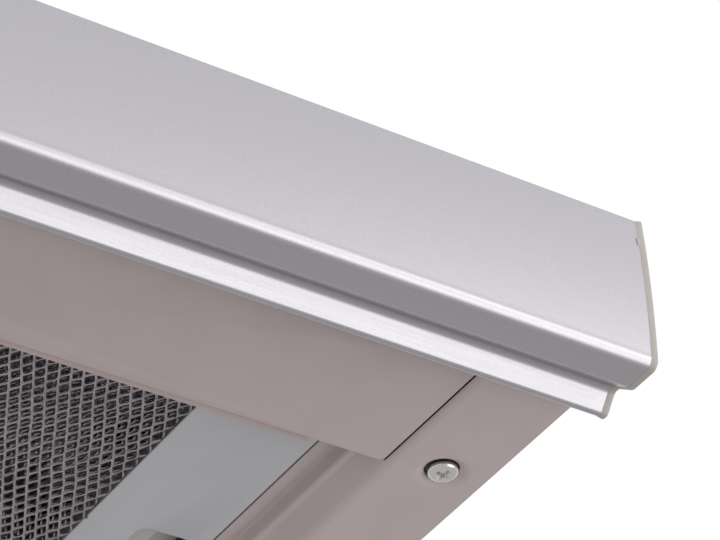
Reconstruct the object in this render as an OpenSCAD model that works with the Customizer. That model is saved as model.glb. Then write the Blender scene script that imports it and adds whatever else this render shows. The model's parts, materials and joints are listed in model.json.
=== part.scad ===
// Pull-out range hood for a 600 mm wall cabinet, closed. Millimetres, X right, Y back, Z up.
// The origin is at the wall, in the middle, on the plane of the underside flanges.

/* [Lower frame] */
// Width over the two side flanges
frame_w = 591; // [580:1:620]
// Depth from the wall to the front of the handle strip
hood_d = 290; // [285:1:330]
// Height of the lower frame above the flange plane
frame_h = 36; // [35:0.5:42]
// Thickness of the sheet steel
sheet_t = 1; // [0.8:0.1:1.2]
// Width of the returns that stiffen the frame's lower edge
return_w = 18; // [15:0.5:22]
// Radius of a pressed bend, outside
bend_r = 1.6; // [1.4:0.1:2.5]
// Depth of the air slot in the frame's top plate
slot_d = 42; // [30:1:46]
// Number of windows in the air slot
slot_windows = 3; // [1:1:5]
// Width of the bars between the slot's windows
slot_bar_w = 8; // [4:1:12]

/* [Side flanges] */
// Width of the flat part of a side flange
flange_w = 27.05; // [26:0.05:34]
// Width of the stepped channel beside the filters
step_run = 11.3; // [10:0.1:14]
// Width of the channel's ledge beside a filter
ledge_w = 4.5; // [4:0.1:6]
// Width of the narrow ridge half way up the channel
ridge_w = 1.6; // [1.4:0.1:2.2]
// Width of the soft shoulder outboard of the front panel
shoulder_w = 1.5; // [1.2:0.1:2.5]
// Height that the stepped channel rises
step_rise = 9; // [8:0.1:10]
// Depth of a screw dimple
dimple_d = 1.2; // [0.8:0.1:1.6]
// Radius of a dimple's floor
dimple_r = 5.6; // [5:0.1:6.5]
// Depth of the cross member along the wall
rear_d = 27; // [22:0.5:32]
// Height of the lip on the cross member's front edge
rear_lip_h = 5; // [3:0.5:5.5]

/* [Front strip] */
// How far the strip and its end caps stand out beyond each side of the frame
strip_overhang = 3; // [2:0.1:6]
// Height of the strip's front face
strip_h = 42.2; // [41:0.2:50]
// Depth of the strip
strip_deep = 24.6; // [24:0.2:30]
// How far the strip's bottom face lies below the flange plane
strip_drop = 6.9; // [5:0.1:8]
// Bulge of the front face
strip_bulge = 1.3; // [0.8:0.05:3]
// Height of the face's foremost line, as a share of the face's height
bulge_height_share = 0.68; // [0.4:0.02:0.8]
// Radius of the front face's lower edge
strip_edge_r = 2.7; // [1.4:0.1:2.8]
// Wall of the extrusion
strip_wall = 1.5; // [1.2:0.1:2]
// Depth of the flat bottom face
foot_w = 9.7; // [7:0.1:10]
// Run of the slope behind the bottom face
foot_slope_w = 5; // [4:0.2:6]
// Height of the cove between the bottom face and the lip
cove_h = 3.6; // [2.5:0.1:4.5]
// Width of the lip's tip
lip_w = 1.9; // [1.6:0.1:3]
// How far the lip's back slants forward at its tip
lip_lean = 1; // [0.5:0.1:2]
// Width of the lip's sloped front face
lip_slope_w = 3.7; // [3:0.1:4.5]
// How far the lip hangs below the bottom face
lip_drop = 0.8; // [0.4:0.1:1.5]
// Thickness of an end cap
cap_t = 2; // [1.5:0.1:4]
// How far an end cap stands proud of the strip all round
cap_proud = 0.3; // [0.2:0.1:0.8]
// Depth of an end cap's plug
plug_d = 8; // [5:0.5:14]
// Wall of an end cap's plug
plug_wall = 1.6; // [1.2:0.1:2.2]

/* [Front panel] */
// Depth of the front panel behind the strip
panel_d = 46.8; // [46:0.2:56]
// Gap between the front panel and a side flange
panel_gap = 0.7; // [0.5:0.1:1.5]
// Radius of the panel's rear corners
panel_corner_r = 1.6; // [1.2:0.1:5]
// Thickness of the rail behind the panel's rear edge
rail_t = 2.6; // [2:0.1:3]
// How far the rail stops short of the panel's end
rail_short = 20.3; // [18:0.1:30]

/* [Pull-out tray] */
// Gap between the tray's cover and the frame's top plate
cover_gap = 1; // [0.6:0.1:1.6]
// Depth of the tray's cover
cover_d = 176; // [150:1:180]
// Width of a tray side's shelf and top flange
tray_flange_w = 31.5; // [30:0.5:34]
// Depth of the bar along the tray's rear
bar_d = 8; // [7:0.5:10]
// Drop of the rear bar below the filters
bar_drop = 2; // [1:0.5:3]
// Gap between the tray and the cross member along the wall
tray_gap = 1; // [0.6:0.1:2]
// Width of the flange on the divider between the filters
divider_w = 18; // [12:1:26]

/* [Runners] */
// Height of a fixed runner
runner_h = 18; // [17:0.5:19]
// Depth of a fixed runner, from the frame's wall
runner_w = 11; // [10:0.5:13]
// Thickness of the runners' steel
runner_t = 1; // [0.8:0.1:1.2]
// Gap between nested runners
runner_gap = 0.4; // [0.3:0.05:0.6]

/* [Filters] */
// Height of the filters' underside above the flange plane
filter_lift = 8; // [7:0.2:8.6]
// Thickness of a filter
filter_t = 9; // [8.6:0.2:10]
// Gap beside the stepped channel
filter_gap = 1.4; // [0.8:0.1:2]
// Gap in front of and behind a filter
filter_end_gap = 3; // [2.8:0.1:3.8]
// Gap between a filter and the shelf above it
shelf_gap = 1; // [0.8:0.1:1.4]
// Half of the gap between the two filters
filter_half_gap = 1; // [0.8:0.1:2]
// Width of the plate that holds the latch
plate_w = 32.8; // [31:0.1:40]
// Width of a filter's border on its other sides
border_w = 6; // [5:0.5:8]
// Thickness of the filter frame's sheet
filter_sheet = 1; // [0.8:0.1:1.2]
// Number of mesh cells along X
mesh_nx = 20; // [8:1:20]
// Number of mesh cells along Y
mesh_ny = 14; // [6:1:14]
// Thickness of the mesh
mesh_t = 1; // [0.8:0.1:1.4]
// Width of a mesh strand
strand_w = 2; // [1.4:0.1:3]
// Radius of a filter's pivot pins
pivot_r = 1.5; // [1.2:0.1:1.8]

/* [Filter latches] */
// Length of the finger recess
recess_len = 59; // [50:1:80]
// Width of the finger recess
recess_w = 15.3; // [14:0.1:17]
// Distance from the plate's inner edge to the recess
recess_in = 13.7; // [12.5:0.1:14.5]
// Radius of the recess's corners
recess_r = 3; // [2:0.5:5]
// Width of the slider that shows in the recess
slider_show = 5.8; // [5:0.1:7]
// Thickness of the slider
slider_t = 1.2; // [1:0.1:1.3]
// Height of the slider
slider_h = 5.3; // [5:0.1:5.4]
// Width of the latch's tongue
tongue_w = 20; // [14:1:26]
// Travel of the latch
latch_travel = 3.5; // [3:0.1:3.8]
// Overlap of the tongue on its catch
tongue_hold = 2; // [1.5:0.1:2.4]

/* [Housing] */
// Gap between the housing and each side of the frame
housing_side_gap = 32.5; // [26:0.5:50]
// Height of the blower housing
housing_h = 140; // [136:1:170]
// Height of the upright part of the housing's front, below the slope
housing_sill_h = 20; // [14:1:40]
// Depth of the housing's flat top, behind the slope
housing_top_d = 146; // [140:1:180]
// Gap between the housing and the wall
housing_wall_gap = 2; // [1:0.5:5]
// Gap between the housing and the frame's front edge
housing_front_gap = 1.4; // [1:0.1:6]
// Width of the housing's foot and head flanges
housing_flange = 12; // [10:1:16]

/* [Blower] */
// Radius of the fan wheel
wheel_r = 48; // [40:1:49]
// Width of the fan wheel
wheel_w = 100; // [80:1:104]
// Number of blades
blade_n = 30; // [12:1:36]
// Depth of a blade, from the wheel's rim inwards
blade_d = 8; // [6:0.5:10]
// Thickness of a blade
blade_t = 1; // [0.8:0.1:1.4]
// Gap between the wheel and the scroll at its tongue
scroll_gap = 4; // [3:0.5:5]
// Growth of the scroll's radius over its turn
scroll_grow = 14; // [10:0.5:16]
// Wall of the scroll
scroll_wall = 2; // [1.6:0.1:2.4]
// Gap between the wheel and the scroll's sides
scroll_side_gap = 4; // [3:0.5:6]
// Radius of the scroll's inlets
inlet_r = 38; // [34:1:39]
// Radius of the motor
motor_r = 28; // [22:1:30]
// Length of the motor
motor_len = 68; // [56:1:76]
// Radius of the motor's shaft
shaft_r = 4; // [3:0.5:5]

/* [Outlet] */
// Outer radius of the duct collar
collar_r = 60; // [60:0.5:64]
// Height of the duct collar
collar_h = 45; // [40:1:60]
// Wall of the duct collar
collar_wall = 2.5; // [2.2:0.1:3]
// Height of the collar's base
collar_base_h = 12; // [8:1:20]
// Radius of the damper pins
damper_pin_r = 1.5; // [1.2:0.1:1.8]
// Thickness of a damper flap
flap_t = 1.2; // [1:0.1:1.6]

/* [Electrics] */
// Length of the terminal box
terminal_w = 82; // [70:1:100]
// Depth of the terminal box
terminal_d = 56; // [45:1:70]
// Height of the terminal box
terminal_h = 32; // [26:1:40]
// Wall of the terminal box
terminal_wall = 2; // [1.6:0.1:2.5]
// Radius of the hole in the cable gland
gland_r = 4; // [3:0.5:5]
// Length of a lamp's lens
lens_w = 68; // [50:1:90]
// Depth of a lamp's lens
lens_d = 24; // [16:1:28]
// Distance of each lamp from the middle
lamp_x = 100; // [90:1:150]
// Width of the rim round a lamp or the switches
rim_w = 2.2; // [1.6:0.1:3]
// How far a rim stands below the panel
rim_t = 0.8; // [0.6:0.1:1.2]
// Travel of the fan switch
fan_travel = 12; // [9:0.5:14]
// Travel of the light switch
light_travel = 6; // [4:0.5:8]

/* [Fasteners] */
// Radius of a flange screw's head
screw_head_r = 4; // [3.6:0.1:4.5]
// Height of a flange screw's head
screw_head_h = 1.7; // [1.5:0.1:2.8]
// Radius of a flange screw's shank
screw_r = 1.9; // [1.7:0.05:2.1]
// Length of a flange screw's shank
screw_len = 7; // [5:0.5:8]
// Radius of the cabinet screw holes
cabinet_hole_r = 2.5; // [2:0.1:3]

/* [Hidden] */

// Shared clearances and the overrun of a cut
fit = 0.3;
pin_fit = 0.05;
screw_fit = 0.1;
over = 1;
fine = 96;
round_fn = 48;

// Places across the hood, right side
frame_x = frame_w / 2;
flange_in = frame_x - flange_w;
step_in = flange_in - step_run;
panel_x = flange_in - panel_gap;
filter_x = step_in - filter_gap;
plate_in = filter_x - plate_w;
wall_in = frame_x - sheet_t;
runner_in = wall_in - runner_w;
tray_x = runner_in - runner_t;
shelf_in = tray_x - sheet_t - tray_flange_w;
rail_x = panel_x - rail_short;
strip_x = frame_x + strip_overhang;
housing_x = frame_x - housing_side_gap;
screw_x = frame_x - flange_w * 0.425;
cabinet_x = (frame_x + tray_x) / 2;

// Places along the depth
strip_front = -hood_d;
strip_back = strip_front + strip_deep;
frame_front_gap = 2;
frame_front = strip_back + frame_front_gap;
tray_front = strip_back + sheet_t;
panel_rear = strip_back + panel_d;
panel_mid = (tray_front + panel_rear - sheet_t) / 2;
filter_front = panel_rear + filter_end_gap;
tray_rear = -rear_d - tray_gap;
bar_front = tray_rear - bar_d;
filter_rear = bar_front - filter_end_gap;
filter_mid = (filter_front + filter_rear) / 2;
cover_rear = tray_front + cover_d;
housing_front = frame_front + housing_front_gap;
housing_rear = -housing_wall_gap;
housing_slope_y = housing_rear - housing_top_d;

// Heights
return_z = sheet_t + dimple_d;
plate_z = frame_h - sheet_t;
tray_top = plate_z - cover_gap;
cover_z = tray_top - sheet_t;
filter_z = filter_lift;
filter_top = filter_z + filter_t;
shelf_z = filter_top + shelf_gap;
bar_z = filter_z - bar_drop;
runner_drop_share = 0.16;
runner_z = (return_z + plate_z + sheet_t - runner_h) / 2 + runner_drop_share * runner_h;
strip_z = -strip_drop;
housing_top_z = frame_h + housing_h;

// Latch
recess_x = plate_in + recess_in;
recess_end = recess_x + recess_w;
slider_z = filter_z + filter_sheet + fit;
slider_top = slider_z + slider_h;
pocket_clear = 0.3;
tongue_reach = latch_travel - pocket_clear;
tongue_end = filter_x + tongue_reach;
catch_t = 1.2;
catch_in = tongue_end - tongue_hold;
catch_top = slider_top - slider_t - fit;

// Filter pivots
pivot_inset = 3;
pivot_x = filter_half_gap + pivot_inset;
pivot_z = filter_z + pivot_r;
pivot_len = 2.5;

// Blower
scroll_r = wheel_r + scroll_gap;
scroll_end_r = scroll_r + scroll_grow;
scroll_x = wheel_w / 2 + scroll_side_gap + scroll_wall;
tongue_angle = 65;
duct_in_y = scroll_r * cos(tongue_angle);
blower_z = frame_h + sheet_t + scroll_end_r + scroll_wall + fit;
collar_base_w = 2 * collar_r + 2 * collar_wall;
outlet_y = housing_rear - over - collar_base_w / 2;
blower_y = outlet_y - (duct_in_y + scroll_end_r) / 2;
scroll_steps = 40;

// Outlet
collar_z = housing_top_z + collar_base_h;
collar_in_r = collar_r - collar_wall;
damper_lift = 8;
damper_z = collar_z + damper_lift;
damper_y = 3.2;
barrel_t = 1.05;
barrel_r = damper_pin_r + pin_fit + barrel_t;
stop_w = 3;
stop_h = 2;

// Electrics
terminal_margin = 32;
terminal_x = housing_x - terminal_margin - terminal_w / 2;
terminal_y = outlet_y;
terminal_z = housing_top_z;
gland_x = terminal_x + terminal_w / 2;
switch_x = shelf_in * 0.8;
switch_z = 24;
plunger_r = 1.8;
plunger_travel = 2;

screw_front_y = strip_back + 44.4;
screw_pitch = (filter_mid - screw_front_y) * 0.94;
flange_screw_y = [for (i = [0:2]) screw_front_y + i * screw_pitch];
rear_screw_x = [-1, 0, 1] * (frame_x * 0.62);
rear_screw_y = -(return_w + 3 * sheet_t) / 2;

function unit(v) = v / norm(v);
function left_of(a, b) = let (d = unit(b - a)) [-d[1], d[0]];
// Offset of a path's point i, square to both of its neighbours
function miter(path, i) =
    let (last = len(path) - 1)
    let (before = left_of(path[max(i - 1, 0)], path[max(i, 1)]))
    let (after = left_of(path[min(i, last - 1)], path[min(i + 1, last)]))
    (before + after) / (1 + before * after);
// Outline of a bent sheet: the path, and back along it at thickness t to its left
function sheet_outline(path, t) =
    concat(path, [for (i = [len(path) - 1:-1:0]) path[i] + t * miter(path, i)]);
// Closed outline, drawn counter-clockwise, moved inwards by t
function inset(points, t) =
    let (count = len(points))
    [
        for (i = [0:count - 1])
            let (before = points[(i + count - 1) % count], after = points[(i + 1) % count])
            points[i] + t * miter([before, points[i], after], 1)
    ];
function tail(points) = [for (i = [1:len(points) - 1]) points[i]];
// Arc of radius r that rounds corner b between a and c
function corner_arc(a, b, c, r, steps = 5) =
    let (u = unit(a - b), v = unit(c - b))
    let (half = acos(max(-1, min(1, u * v))) / 2)
    let (centre = b + unit(u + v) * r / sin(half))
    let (p = b + u * r / tan(half) - centre, q = b + v * r / tan(half) - centre)
    let (from = atan2(p[1], p[0]))
    let (turn = atan2(p[0] * q[1] - p[1] * q[0], p * q))
    [for (i = [0:steps]) centre + r * [cos(from + turn * i / steps), sin(from + turn * i / steps)]];
// Path with its inner corners rounded, each by its own radius
function rounded(path, radii) = [
    for (i = [0:len(path) - 1])
        each (i == 0 || i == len(path) - 1 || radii[i] == 0)
            ? [path[i]]
            : corner_arc(path[i - 1], path[i], path[i + 1], radii[i])
];

module block(low, high) {
    translate(low)
        cube(high - low);
}
// Extrudes a profile drawn in Y and Z along X
module along_x(low, high) {
    translate([low, 0, 0])
        rotate([90, 0, 90])
            linear_extrude(high - low)
                children();
}
// Extrudes a profile drawn in X and Z along Y
module along_y(low, high) {
    translate([0, high, 0])
        rotate([90, 0, 0])
            linear_extrude(high - low)
                children();
}
module rod_x(low, high, r) {
    along_x(low, high)
        circle(r, $fn = round_fn);
}
module rod_y(low, high, r) {
    along_y(low, high)
        circle(r, $fn = round_fn);
}
module rod_z(low, high, r) {
    translate([0, 0, low])
        cylinder(h = high - low, r = r, $fn = round_fn);
}
// Right-hand pieces are drawn as they are, left-hand ones mirrored
module on_side(side) {
    if (side > 0)
        children();
    else
        mirror([1, 0, 0])
            children();
}
module rounded_rect(low, high, r) {
    translate(low + [r, 0])
        square(high - low - [2 * r, 0]);
    translate(low + [0, r])
        square(high - low - [0, 2 * r]);
    for (x = [low[0] + r, high[0] - r], y = [low[1] + r, high[1] - r])
        translate([x, y])
            circle(r, $fn = round_fn);
}

// Places of the flange screws: three along each side and three along the wall
module at_flange_screws() {
    for (side = [-1, 1], y = flange_screw_y)
        translate([side * screw_x, y, 0])
            children();
    for (x = rear_screw_x)
        translate([x, rear_screw_y, 0])
            children();
}

// Lower frame: top plate with the air slot, side walls, wall at the back, and returns below
module base_frame() {
    color("#8f8787")
    difference() {
        union() {
            along_y(frame_front, 0)
                polygon(sheet_outline(
                    [
                        [frame_x - return_w, return_z], [frame_x, return_z], [frame_x, frame_h],
                        [-frame_x, frame_h], [-frame_x, return_z], [-frame_x + return_w, return_z]
                    ],
                    sheet_t
                ));
            block([-frame_x, -sheet_t, 0], [frame_x, 0, frame_h]);
            block([-frame_x, -return_w, return_z], [frame_x, 0, return_z + sheet_t]);
        }
        slot_span = 2 * (housing_x - housing_flange - slot_bar_w);
        window = (slot_span - (slot_windows - 1) * slot_bar_w) / slot_windows;
        slot_front = housing_front + housing_flange + over;
        for (i = [0:slot_windows - 1])
            translate([-slot_span / 2 + i * (window + slot_bar_w), slot_front, plate_z - over])
                cube([window, slot_d, sheet_t + 2 * over]);
        at_flange_screws()
            rod_z(return_z - over, return_z + sheet_t + over, screw_r + screw_fit);
        for (side = [-1, 1], y = [-0.25, -0.78] * (hood_d - strip_deep))
            translate([side * cabinet_x, y, 0])
                rod_z(plate_z - over, frame_h + over, cabinet_hole_r);
    }
}

// Pressed seat of a flange screw: a raised floor with the screw's hole, and a flat rim
dimple_edge_r = dimple_r + 2 * dimple_d;
module dimple() {
    rotate_extrude($fn = fine)
        polygon([
            [screw_r + screw_fit, dimple_d],
            [dimple_r, dimple_d],
            [dimple_edge_r, 0],
            [dimple_edge_r + 2 * fit, 0],
            [dimple_edge_r + 2 * fit, sheet_t],
            [dimple_edge_r, sheet_t],
            [dimple_r + sheet_t, return_z],
            [screw_r + screw_fit, return_z]
        ]);
}
module dimple_cut() {
    rod_z(-over, sheet_t + over, dimple_edge_r + fit);
}

ridge_height_share = 0.55;
shoulder_r = 3 * bend_r;
// Side flange: flat, a soft shoulder, and two pressed steps up to the filters
module side_flange(side) {
    ridge_z = step_rise * ridge_height_share;
    wall_w = sheet_t;
    path = rounded(
        [
            [step_in, step_rise],
            [step_in + ledge_w, step_rise],
            [step_in + ledge_w + wall_w, ridge_z],
            [step_in + ledge_w + wall_w + ridge_w, ridge_z],
            [flange_in + shoulder_w, 0],
            [flange_in + shoulder_w + 2 * shoulder_r, 0]
        ],
        [0, bend_r * 0.7, sheet_t + fit / 2, bend_r * 0.4, shoulder_r, 0]
    );
    flat_in = flange_in + shoulder_w + 2 * shoulder_r - fit;
    on_side(side)
        union() {
            along_y(frame_front, -rear_d - fit)
                polygon(sheet_outline(path, sheet_t));
            linear_extrude(sheet_t)
                difference() {
                    translate([flat_in, frame_front])
                        square([frame_x - flat_in, -rear_d - fit - frame_front]);
                    for (y = flange_screw_y)
                        translate([screw_x, y])
                            circle(dimple_edge_r + fit, $fn = fine);
                }
            for (y = flange_screw_y)
                translate([screw_x, y, 0])
                    dimple();
        }
}
module side_flange_left() { color("#a09696") side_flange(-1); }
module side_flange_right() { color("#a09696") side_flange(1); }

// Cross member along the wall, with a low lip on its front edge
module rear_cross_member() {
    color("#a09696")
    union() {
        difference() {
            union() {
                along_x(-frame_x, frame_x)
                    polygon([[-rear_d, 0], [-sheet_t, 0], [-sheet_t, sheet_t], [-rear_d, sheet_t]]);
                block(
                    [-step_in + filter_gap, -rear_d, 0],
                    [step_in - filter_gap, -rear_d + sheet_t, rear_lip_h]
                );
            }
            for (x = rear_screw_x)
                translate([x, rear_screw_y, 0])
                    dimple_cut();
        }
        for (x = rear_screw_x)
            translate([x, rear_screw_y, 0])
                dimple();
    }
}

// Domed head with a cross recess, on a plain shank
module pan_screw(head_r, head_h, shank_r, len) {
    recess_share = 0.55;
    slot_share = 0.26;
    difference() {
        rotate_extrude($fn = round_fn)
            polygon([
                [0, len], [shank_r, len], [shank_r, 0], [head_r, 0], [head_r, -head_h * 0.4],
                [head_r * 0.9, -head_h * 0.7], [head_r * 0.65, -head_h * 0.92], [0, -head_h]
            ]);
        for (turn = [0, 90])
            rotate([0, 0, turn])
                translate([-head_r * recess_share, -head_r * slot_share / 2, -head_h - over])
                    cube([2 * head_r * recess_share, head_r * slot_share, head_h * 0.6 + over]);
    }
}
module flange_screws() {
    color("#c9c7c6")
    at_flange_screws()
        translate([0, 0, dimple_d])
            pan_screw(screw_head_r, screw_head_h, screw_r, screw_len);
}

// Runners: three nested channels on each side. The outer is fixed, the inner is on the tray.
runner_y = [frame_front, tray_rear];
module runner(side, x_wall, x_open, z_low, z_high) {
    on_side(side)
        along_y(runner_y[0], runner_y[1])
            polygon(sheet_outline(
                [[x_open, z_low], [x_wall, z_low], [x_wall, z_high], [x_open, z_high]],
                (x_wall > x_open) ? runner_t : -runner_t
            ));
}
nest = runner_t + runner_gap;
runner_lip = 1.2;
module runner_outer(side) {
    runner(side, wall_in, runner_in, runner_z, runner_z + runner_h);
    on_side(side)
        for (z = [runner_z + runner_t, runner_z + runner_h - runner_t - runner_lip])
            block([runner_in, runner_y[0], z], [runner_in + runner_t, runner_y[1], z + runner_lip]);
}
module runner_middle(side) {
    runner(side, wall_in - nest, runner_in + nest, runner_z + nest, runner_z + runner_h - nest);
}
module runner_inner(side) {
    runner(
        side, runner_in - runner_t, wall_in - 2 * nest,
        runner_z + 2 * nest, runner_z + runner_h - 2 * nest
    );
}
module runner_outer_left() { color("#b8b8ba") runner_outer(-1); }
module runner_outer_right() { color("#b8b8ba") runner_outer(1); }
module runner_middle_left() { color("#a9a9ac") runner_middle(-1); }
module runner_middle_right() { color("#a9a9ac") runner_middle(1); }
module runner_inner_left() { color("#c2c2c4") runner_inner(-1); }
module runner_inner_right() { color("#c2c2c4") runner_inner(1); }

// Profile of the handle strip, from its front lower left corner: Y back, Z up
bulge_z = strip_h * bulge_height_share;
strip_arc_r = (bulge_z * bulge_z + strip_bulge * strip_bulge) / (2 * strip_bulge);
function face_y(z) =
    strip_arc_r - sqrt(strip_arc_r * strip_arc_r - (z - bulge_z) * (z - bulge_z));
strip_arc_steps = 24;
function face_points(inset, low, high) = [
    for (i = [0:strip_arc_steps])
        let (z = high + (low - high) * i / strip_arc_steps)
        [face_y(z) + inset, z]
];
lip_back_y = strip_deep - lip_lean;
lip_foot_y = lip_back_y - lip_w;
cove_y = lip_foot_y - lip_slope_w;
foot_y = strip_bulge + foot_w;
lip_slant_share = 0.85;
strip_outline = concat(
    face_points(0, strip_edge_r, strip_h),
    tail(rounded(
        [
            [face_y(strip_edge_r), strip_edge_r],
            [face_y(strip_edge_r), 0],
            [foot_y, 0],
            [foot_y + foot_slope_w, cove_h],
            [cove_y, cove_h],
            [lip_foot_y, -lip_drop],
            [lip_back_y, -lip_drop],
            [strip_deep, strip_drop * lip_slant_share],
            [strip_deep, strip_h]
        ],
        [
            0, strip_edge_r * 0.95, strip_edge_r * 0.8, strip_edge_r * 0.8, strip_edge_r * 0.8,
            lip_w * 0.67, lip_w * 0.67, 0, 0
        ]
    ))
);
function strip_cavity(wall) = concat(
    face_points(wall, strip_edge_r + wall, strip_h - wall),
    [
        [face_y(strip_edge_r) + wall + strip_edge_r * 0.5, wall],
        [foot_y, wall],
        [foot_y + foot_slope_w, cove_h + wall],
        [strip_deep - wall, cove_h + wall],
        [strip_deep - wall, strip_h - wall]
    ]
);
module strip_profile(points) {
    translate([strip_front, strip_z])
        polygon(points);
}
// Handle strip: a hollow aluminium extrusion with a bulged face, a cove and a lip
module front_strip() {
    color("#d4d2d8")
    difference() {
        along_x(-strip_x + cap_t, strip_x - cap_t)
            difference() {
                strip_profile(strip_outline);
                strip_profile(strip_cavity(strip_wall));
            }
        at_strip_screws()
            rod_z(-over, sheet_t + strip_wall + over, small_screw_r);
    }
}
// End cap: a plate that stands proud round the strip's outline, and a hollow plug that fits inside
module end_cap(side) {
    on_side(side) {
        along_x(strip_x - cap_t, strip_x)
            strip_profile(inset(strip_outline, -cap_proud));
        along_x(strip_x - cap_t - plug_d, strip_x - cap_t)
            difference() {
                strip_profile(strip_cavity(strip_wall + fit));
                strip_profile(strip_cavity(strip_wall + fit + plug_wall));
            }
    }
}
module end_cap_left() { color("#b8b2ae") end_cap(-1); }
module end_cap_right() { color("#b8b2ae") end_cap(1); }

// Screws through the panel's front wall into the strip's back wall
strip_screw_shares = [-0.86, -0.29, 0.29, 0.86];
strip_screw_x = strip_screw_shares * shelf_in;
strip_screw_z = cover_z * 0.62;
module at_strip_screws() {
    for (x = strip_screw_x)
        translate([x, tray_front, strip_screw_z])
            rotate([90, 0, 0])
                children();
}
small_screw_r = 1.4;
small_head_r = 2.8;
small_head_h = 1.8;
module strip_screws() {
    color("#c9c7c6")
    at_strip_screws()
        pan_screw(small_head_r, small_head_h, small_screw_r - pin_fit, 4 * sheet_t);
}

// Front panel: a shallow channel that carries the strip, the lamps and the switches
upstand_front_z = cover_z - sheet_t;
lamp_rim = [lens_w / 2 + rim_w, lens_d / 2 + rim_w];
switch_rim = [46, 10];
module front_panel() {
    color("#9d9494")
    difference() {
        union() {
            linear_extrude(sheet_t)
                difference() {
                    rounded_rect([-panel_x, strip_back], [panel_x, panel_rear], panel_corner_r);
                    for (x = [-lamp_x, lamp_x])
                        translate([x, panel_mid])
                            square(2 * (lamp_rim - [rim_w, rim_w] / 2), center = true);
                    translate([0, panel_mid])
                        square(2 * (switch_rim - [rim_w, rim_w]), center = true);
                }
            block(
                [-panel_x + panel_corner_r, strip_back, 0],
                [panel_x - panel_corner_r, tray_front, upstand_front_z]
            );
            block([-rail_x, panel_rear - sheet_t, 0], [rail_x, panel_rear, shelf_z]);
        }
        pivot_holes();
        at_strip_screws()
            rod_z(-over, sheet_t + over, small_screw_r);
    }
}
// Holes for the filters' pivot pins in the panel's rear wall and in the tray's rear bar
module pivot_holes() {
    for (side = [-1, 1])
        translate([side * pivot_x, 0, pivot_z]) {
            rod_y(panel_rear - sheet_t - over, panel_rear + rail_t + over, pivot_r + pin_fit);
            rod_y(bar_front - over, bar_front + sheet_t + over, pivot_r + pin_fit);
        }
}
// Rail behind the panel's rear wall, with bevelled ends
module panel_rail() {
    bevel_share = 0.05;
    rail_low = sheet_t * 0.6;
    rail_high = filter_top;
    color("#9a8f8f")
    difference() {
        translate([0, 0, rail_low])
            linear_extrude(rail_high - rail_low)
                polygon([
                    [-rail_x, panel_rear], [rail_x, panel_rear],
                    [rail_x - bevel_share * rail_t, panel_rear + rail_t],
                    [-rail_x + bevel_share * rail_t, panel_rear + rail_t]
                ]);
        pivot_holes();
    }
}

// Tray side: shelf over the filter's edge, web on the runner, flange under the cover
module tray_side(side) {
    on_side(side)
        union() {
            along_y(tray_front, tray_rear - sheet_t)
                polygon(sheet_outline(
                    [
                        [shelf_in, shelf_z], [tray_x, shelf_z], [tray_x, cover_z],
                        [tray_x - tray_flange_w, cover_z]
                    ],
                    sheet_t
                ));
            along_y(filter_mid - tongue_w / 2 - over, filter_mid + tongue_w / 2 + over)
                polygon([
                    [catch_in, catch_top - catch_t], [tongue_end + fit + catch_t, catch_top - catch_t],
                    [tongue_end + fit + catch_t, shelf_z], [tongue_end + fit, shelf_z],
                    [tongue_end + fit, catch_top], [catch_in, catch_top]
                ]);
        }
}
module tray_side_left() { color("#b4b3b5") tray_side(-1); }
module tray_side_right() { color("#b4b3b5") tray_side(1); }

// Channel along the tray's rear, with the filters' rear pivot holes
module tray_rear_bar() {
    color("#9d9494")
    difference() {
        union() {
            along_x(-shelf_in, shelf_in)
                polygon(sheet_outline(
                    [[bar_front, shelf_z], [bar_front, bar_z], [tray_rear, bar_z], [tray_rear, cover_z]],
                    sheet_t
                ));
            block([-tray_x, tray_rear - sheet_t, shelf_z], [tray_x, tray_rear, cover_z]);
        }
        pivot_holes();
    }
}
module tray_cover() {
    color("#b4b3b5")
    block([-tray_x, tray_front, cover_z], [tray_x, cover_rear, tray_top]);
}
// Divider between the filters: a flange with a web up to the cover
module tray_divider() {
    color("#b4b3b5")
    union() {
        block(
            [-divider_w / 2, panel_rear - sheet_t, shelf_z],
            [divider_w / 2, bar_front + sheet_t, shelf_z + sheet_t]
        );
        block([-sheet_t / 2, panel_rear - sheet_t, shelf_z], [sheet_t / 2, cover_rear, cover_z]);
    }
}

// Filter frame: a shallow box of thin sheet round the mesh, with the latch plate at its outer side
module filter_frame(side) {
    s = filter_sheet;
    low = [filter_half_gap, filter_front, filter_z];
    high = [filter_x, filter_rear, filter_top];
    on_side(side)
        difference() {
            union() {
                difference() {
                    block(low, high);
                    block(low + [s, s, s], high - [s, s, s]);
                    block(
                        [low[0] + border_w, low[1] + border_w, low[2] - over],
                        [plate_in, high[1] - border_w, low[2] + s + over]
                    );
                    block(
                        [low[0] + border_w, low[1] + border_w, high[2] - s - over],
                        [filter_x - border_w, high[1] - border_w, high[2] + over]
                    );
                }
                block([plate_in, low[1], low[2]], [plate_in + s, high[1], high[2]]);
                translate([pivot_x, 0, pivot_z]) {
                    rod_y(panel_rear - sheet_t - pivot_len, filter_front + s, pivot_r);
                    rod_y(filter_rear - s, bar_front + sheet_t + pivot_len, pivot_r);
                }
            }
            translate([0, filter_mid, filter_z - over])
                linear_extrude(s + 2 * over)
                    rounded_rect([recess_x, -recess_len / 2], [recess_end, recess_len / 2], recess_r);
            block(
                [filter_x - s - over, filter_mid - tongue_w / 2 - fit, slider_top - slider_t - fit],
                [filter_x + over, filter_mid + tongue_w / 2 + fit, slider_top + fit]
            );
        }
}
module filter_frame_left() { color("#a3a3a6") filter_frame(-1); }
module filter_frame_right() { color("#a3a3a6") filter_frame(1); }

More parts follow.
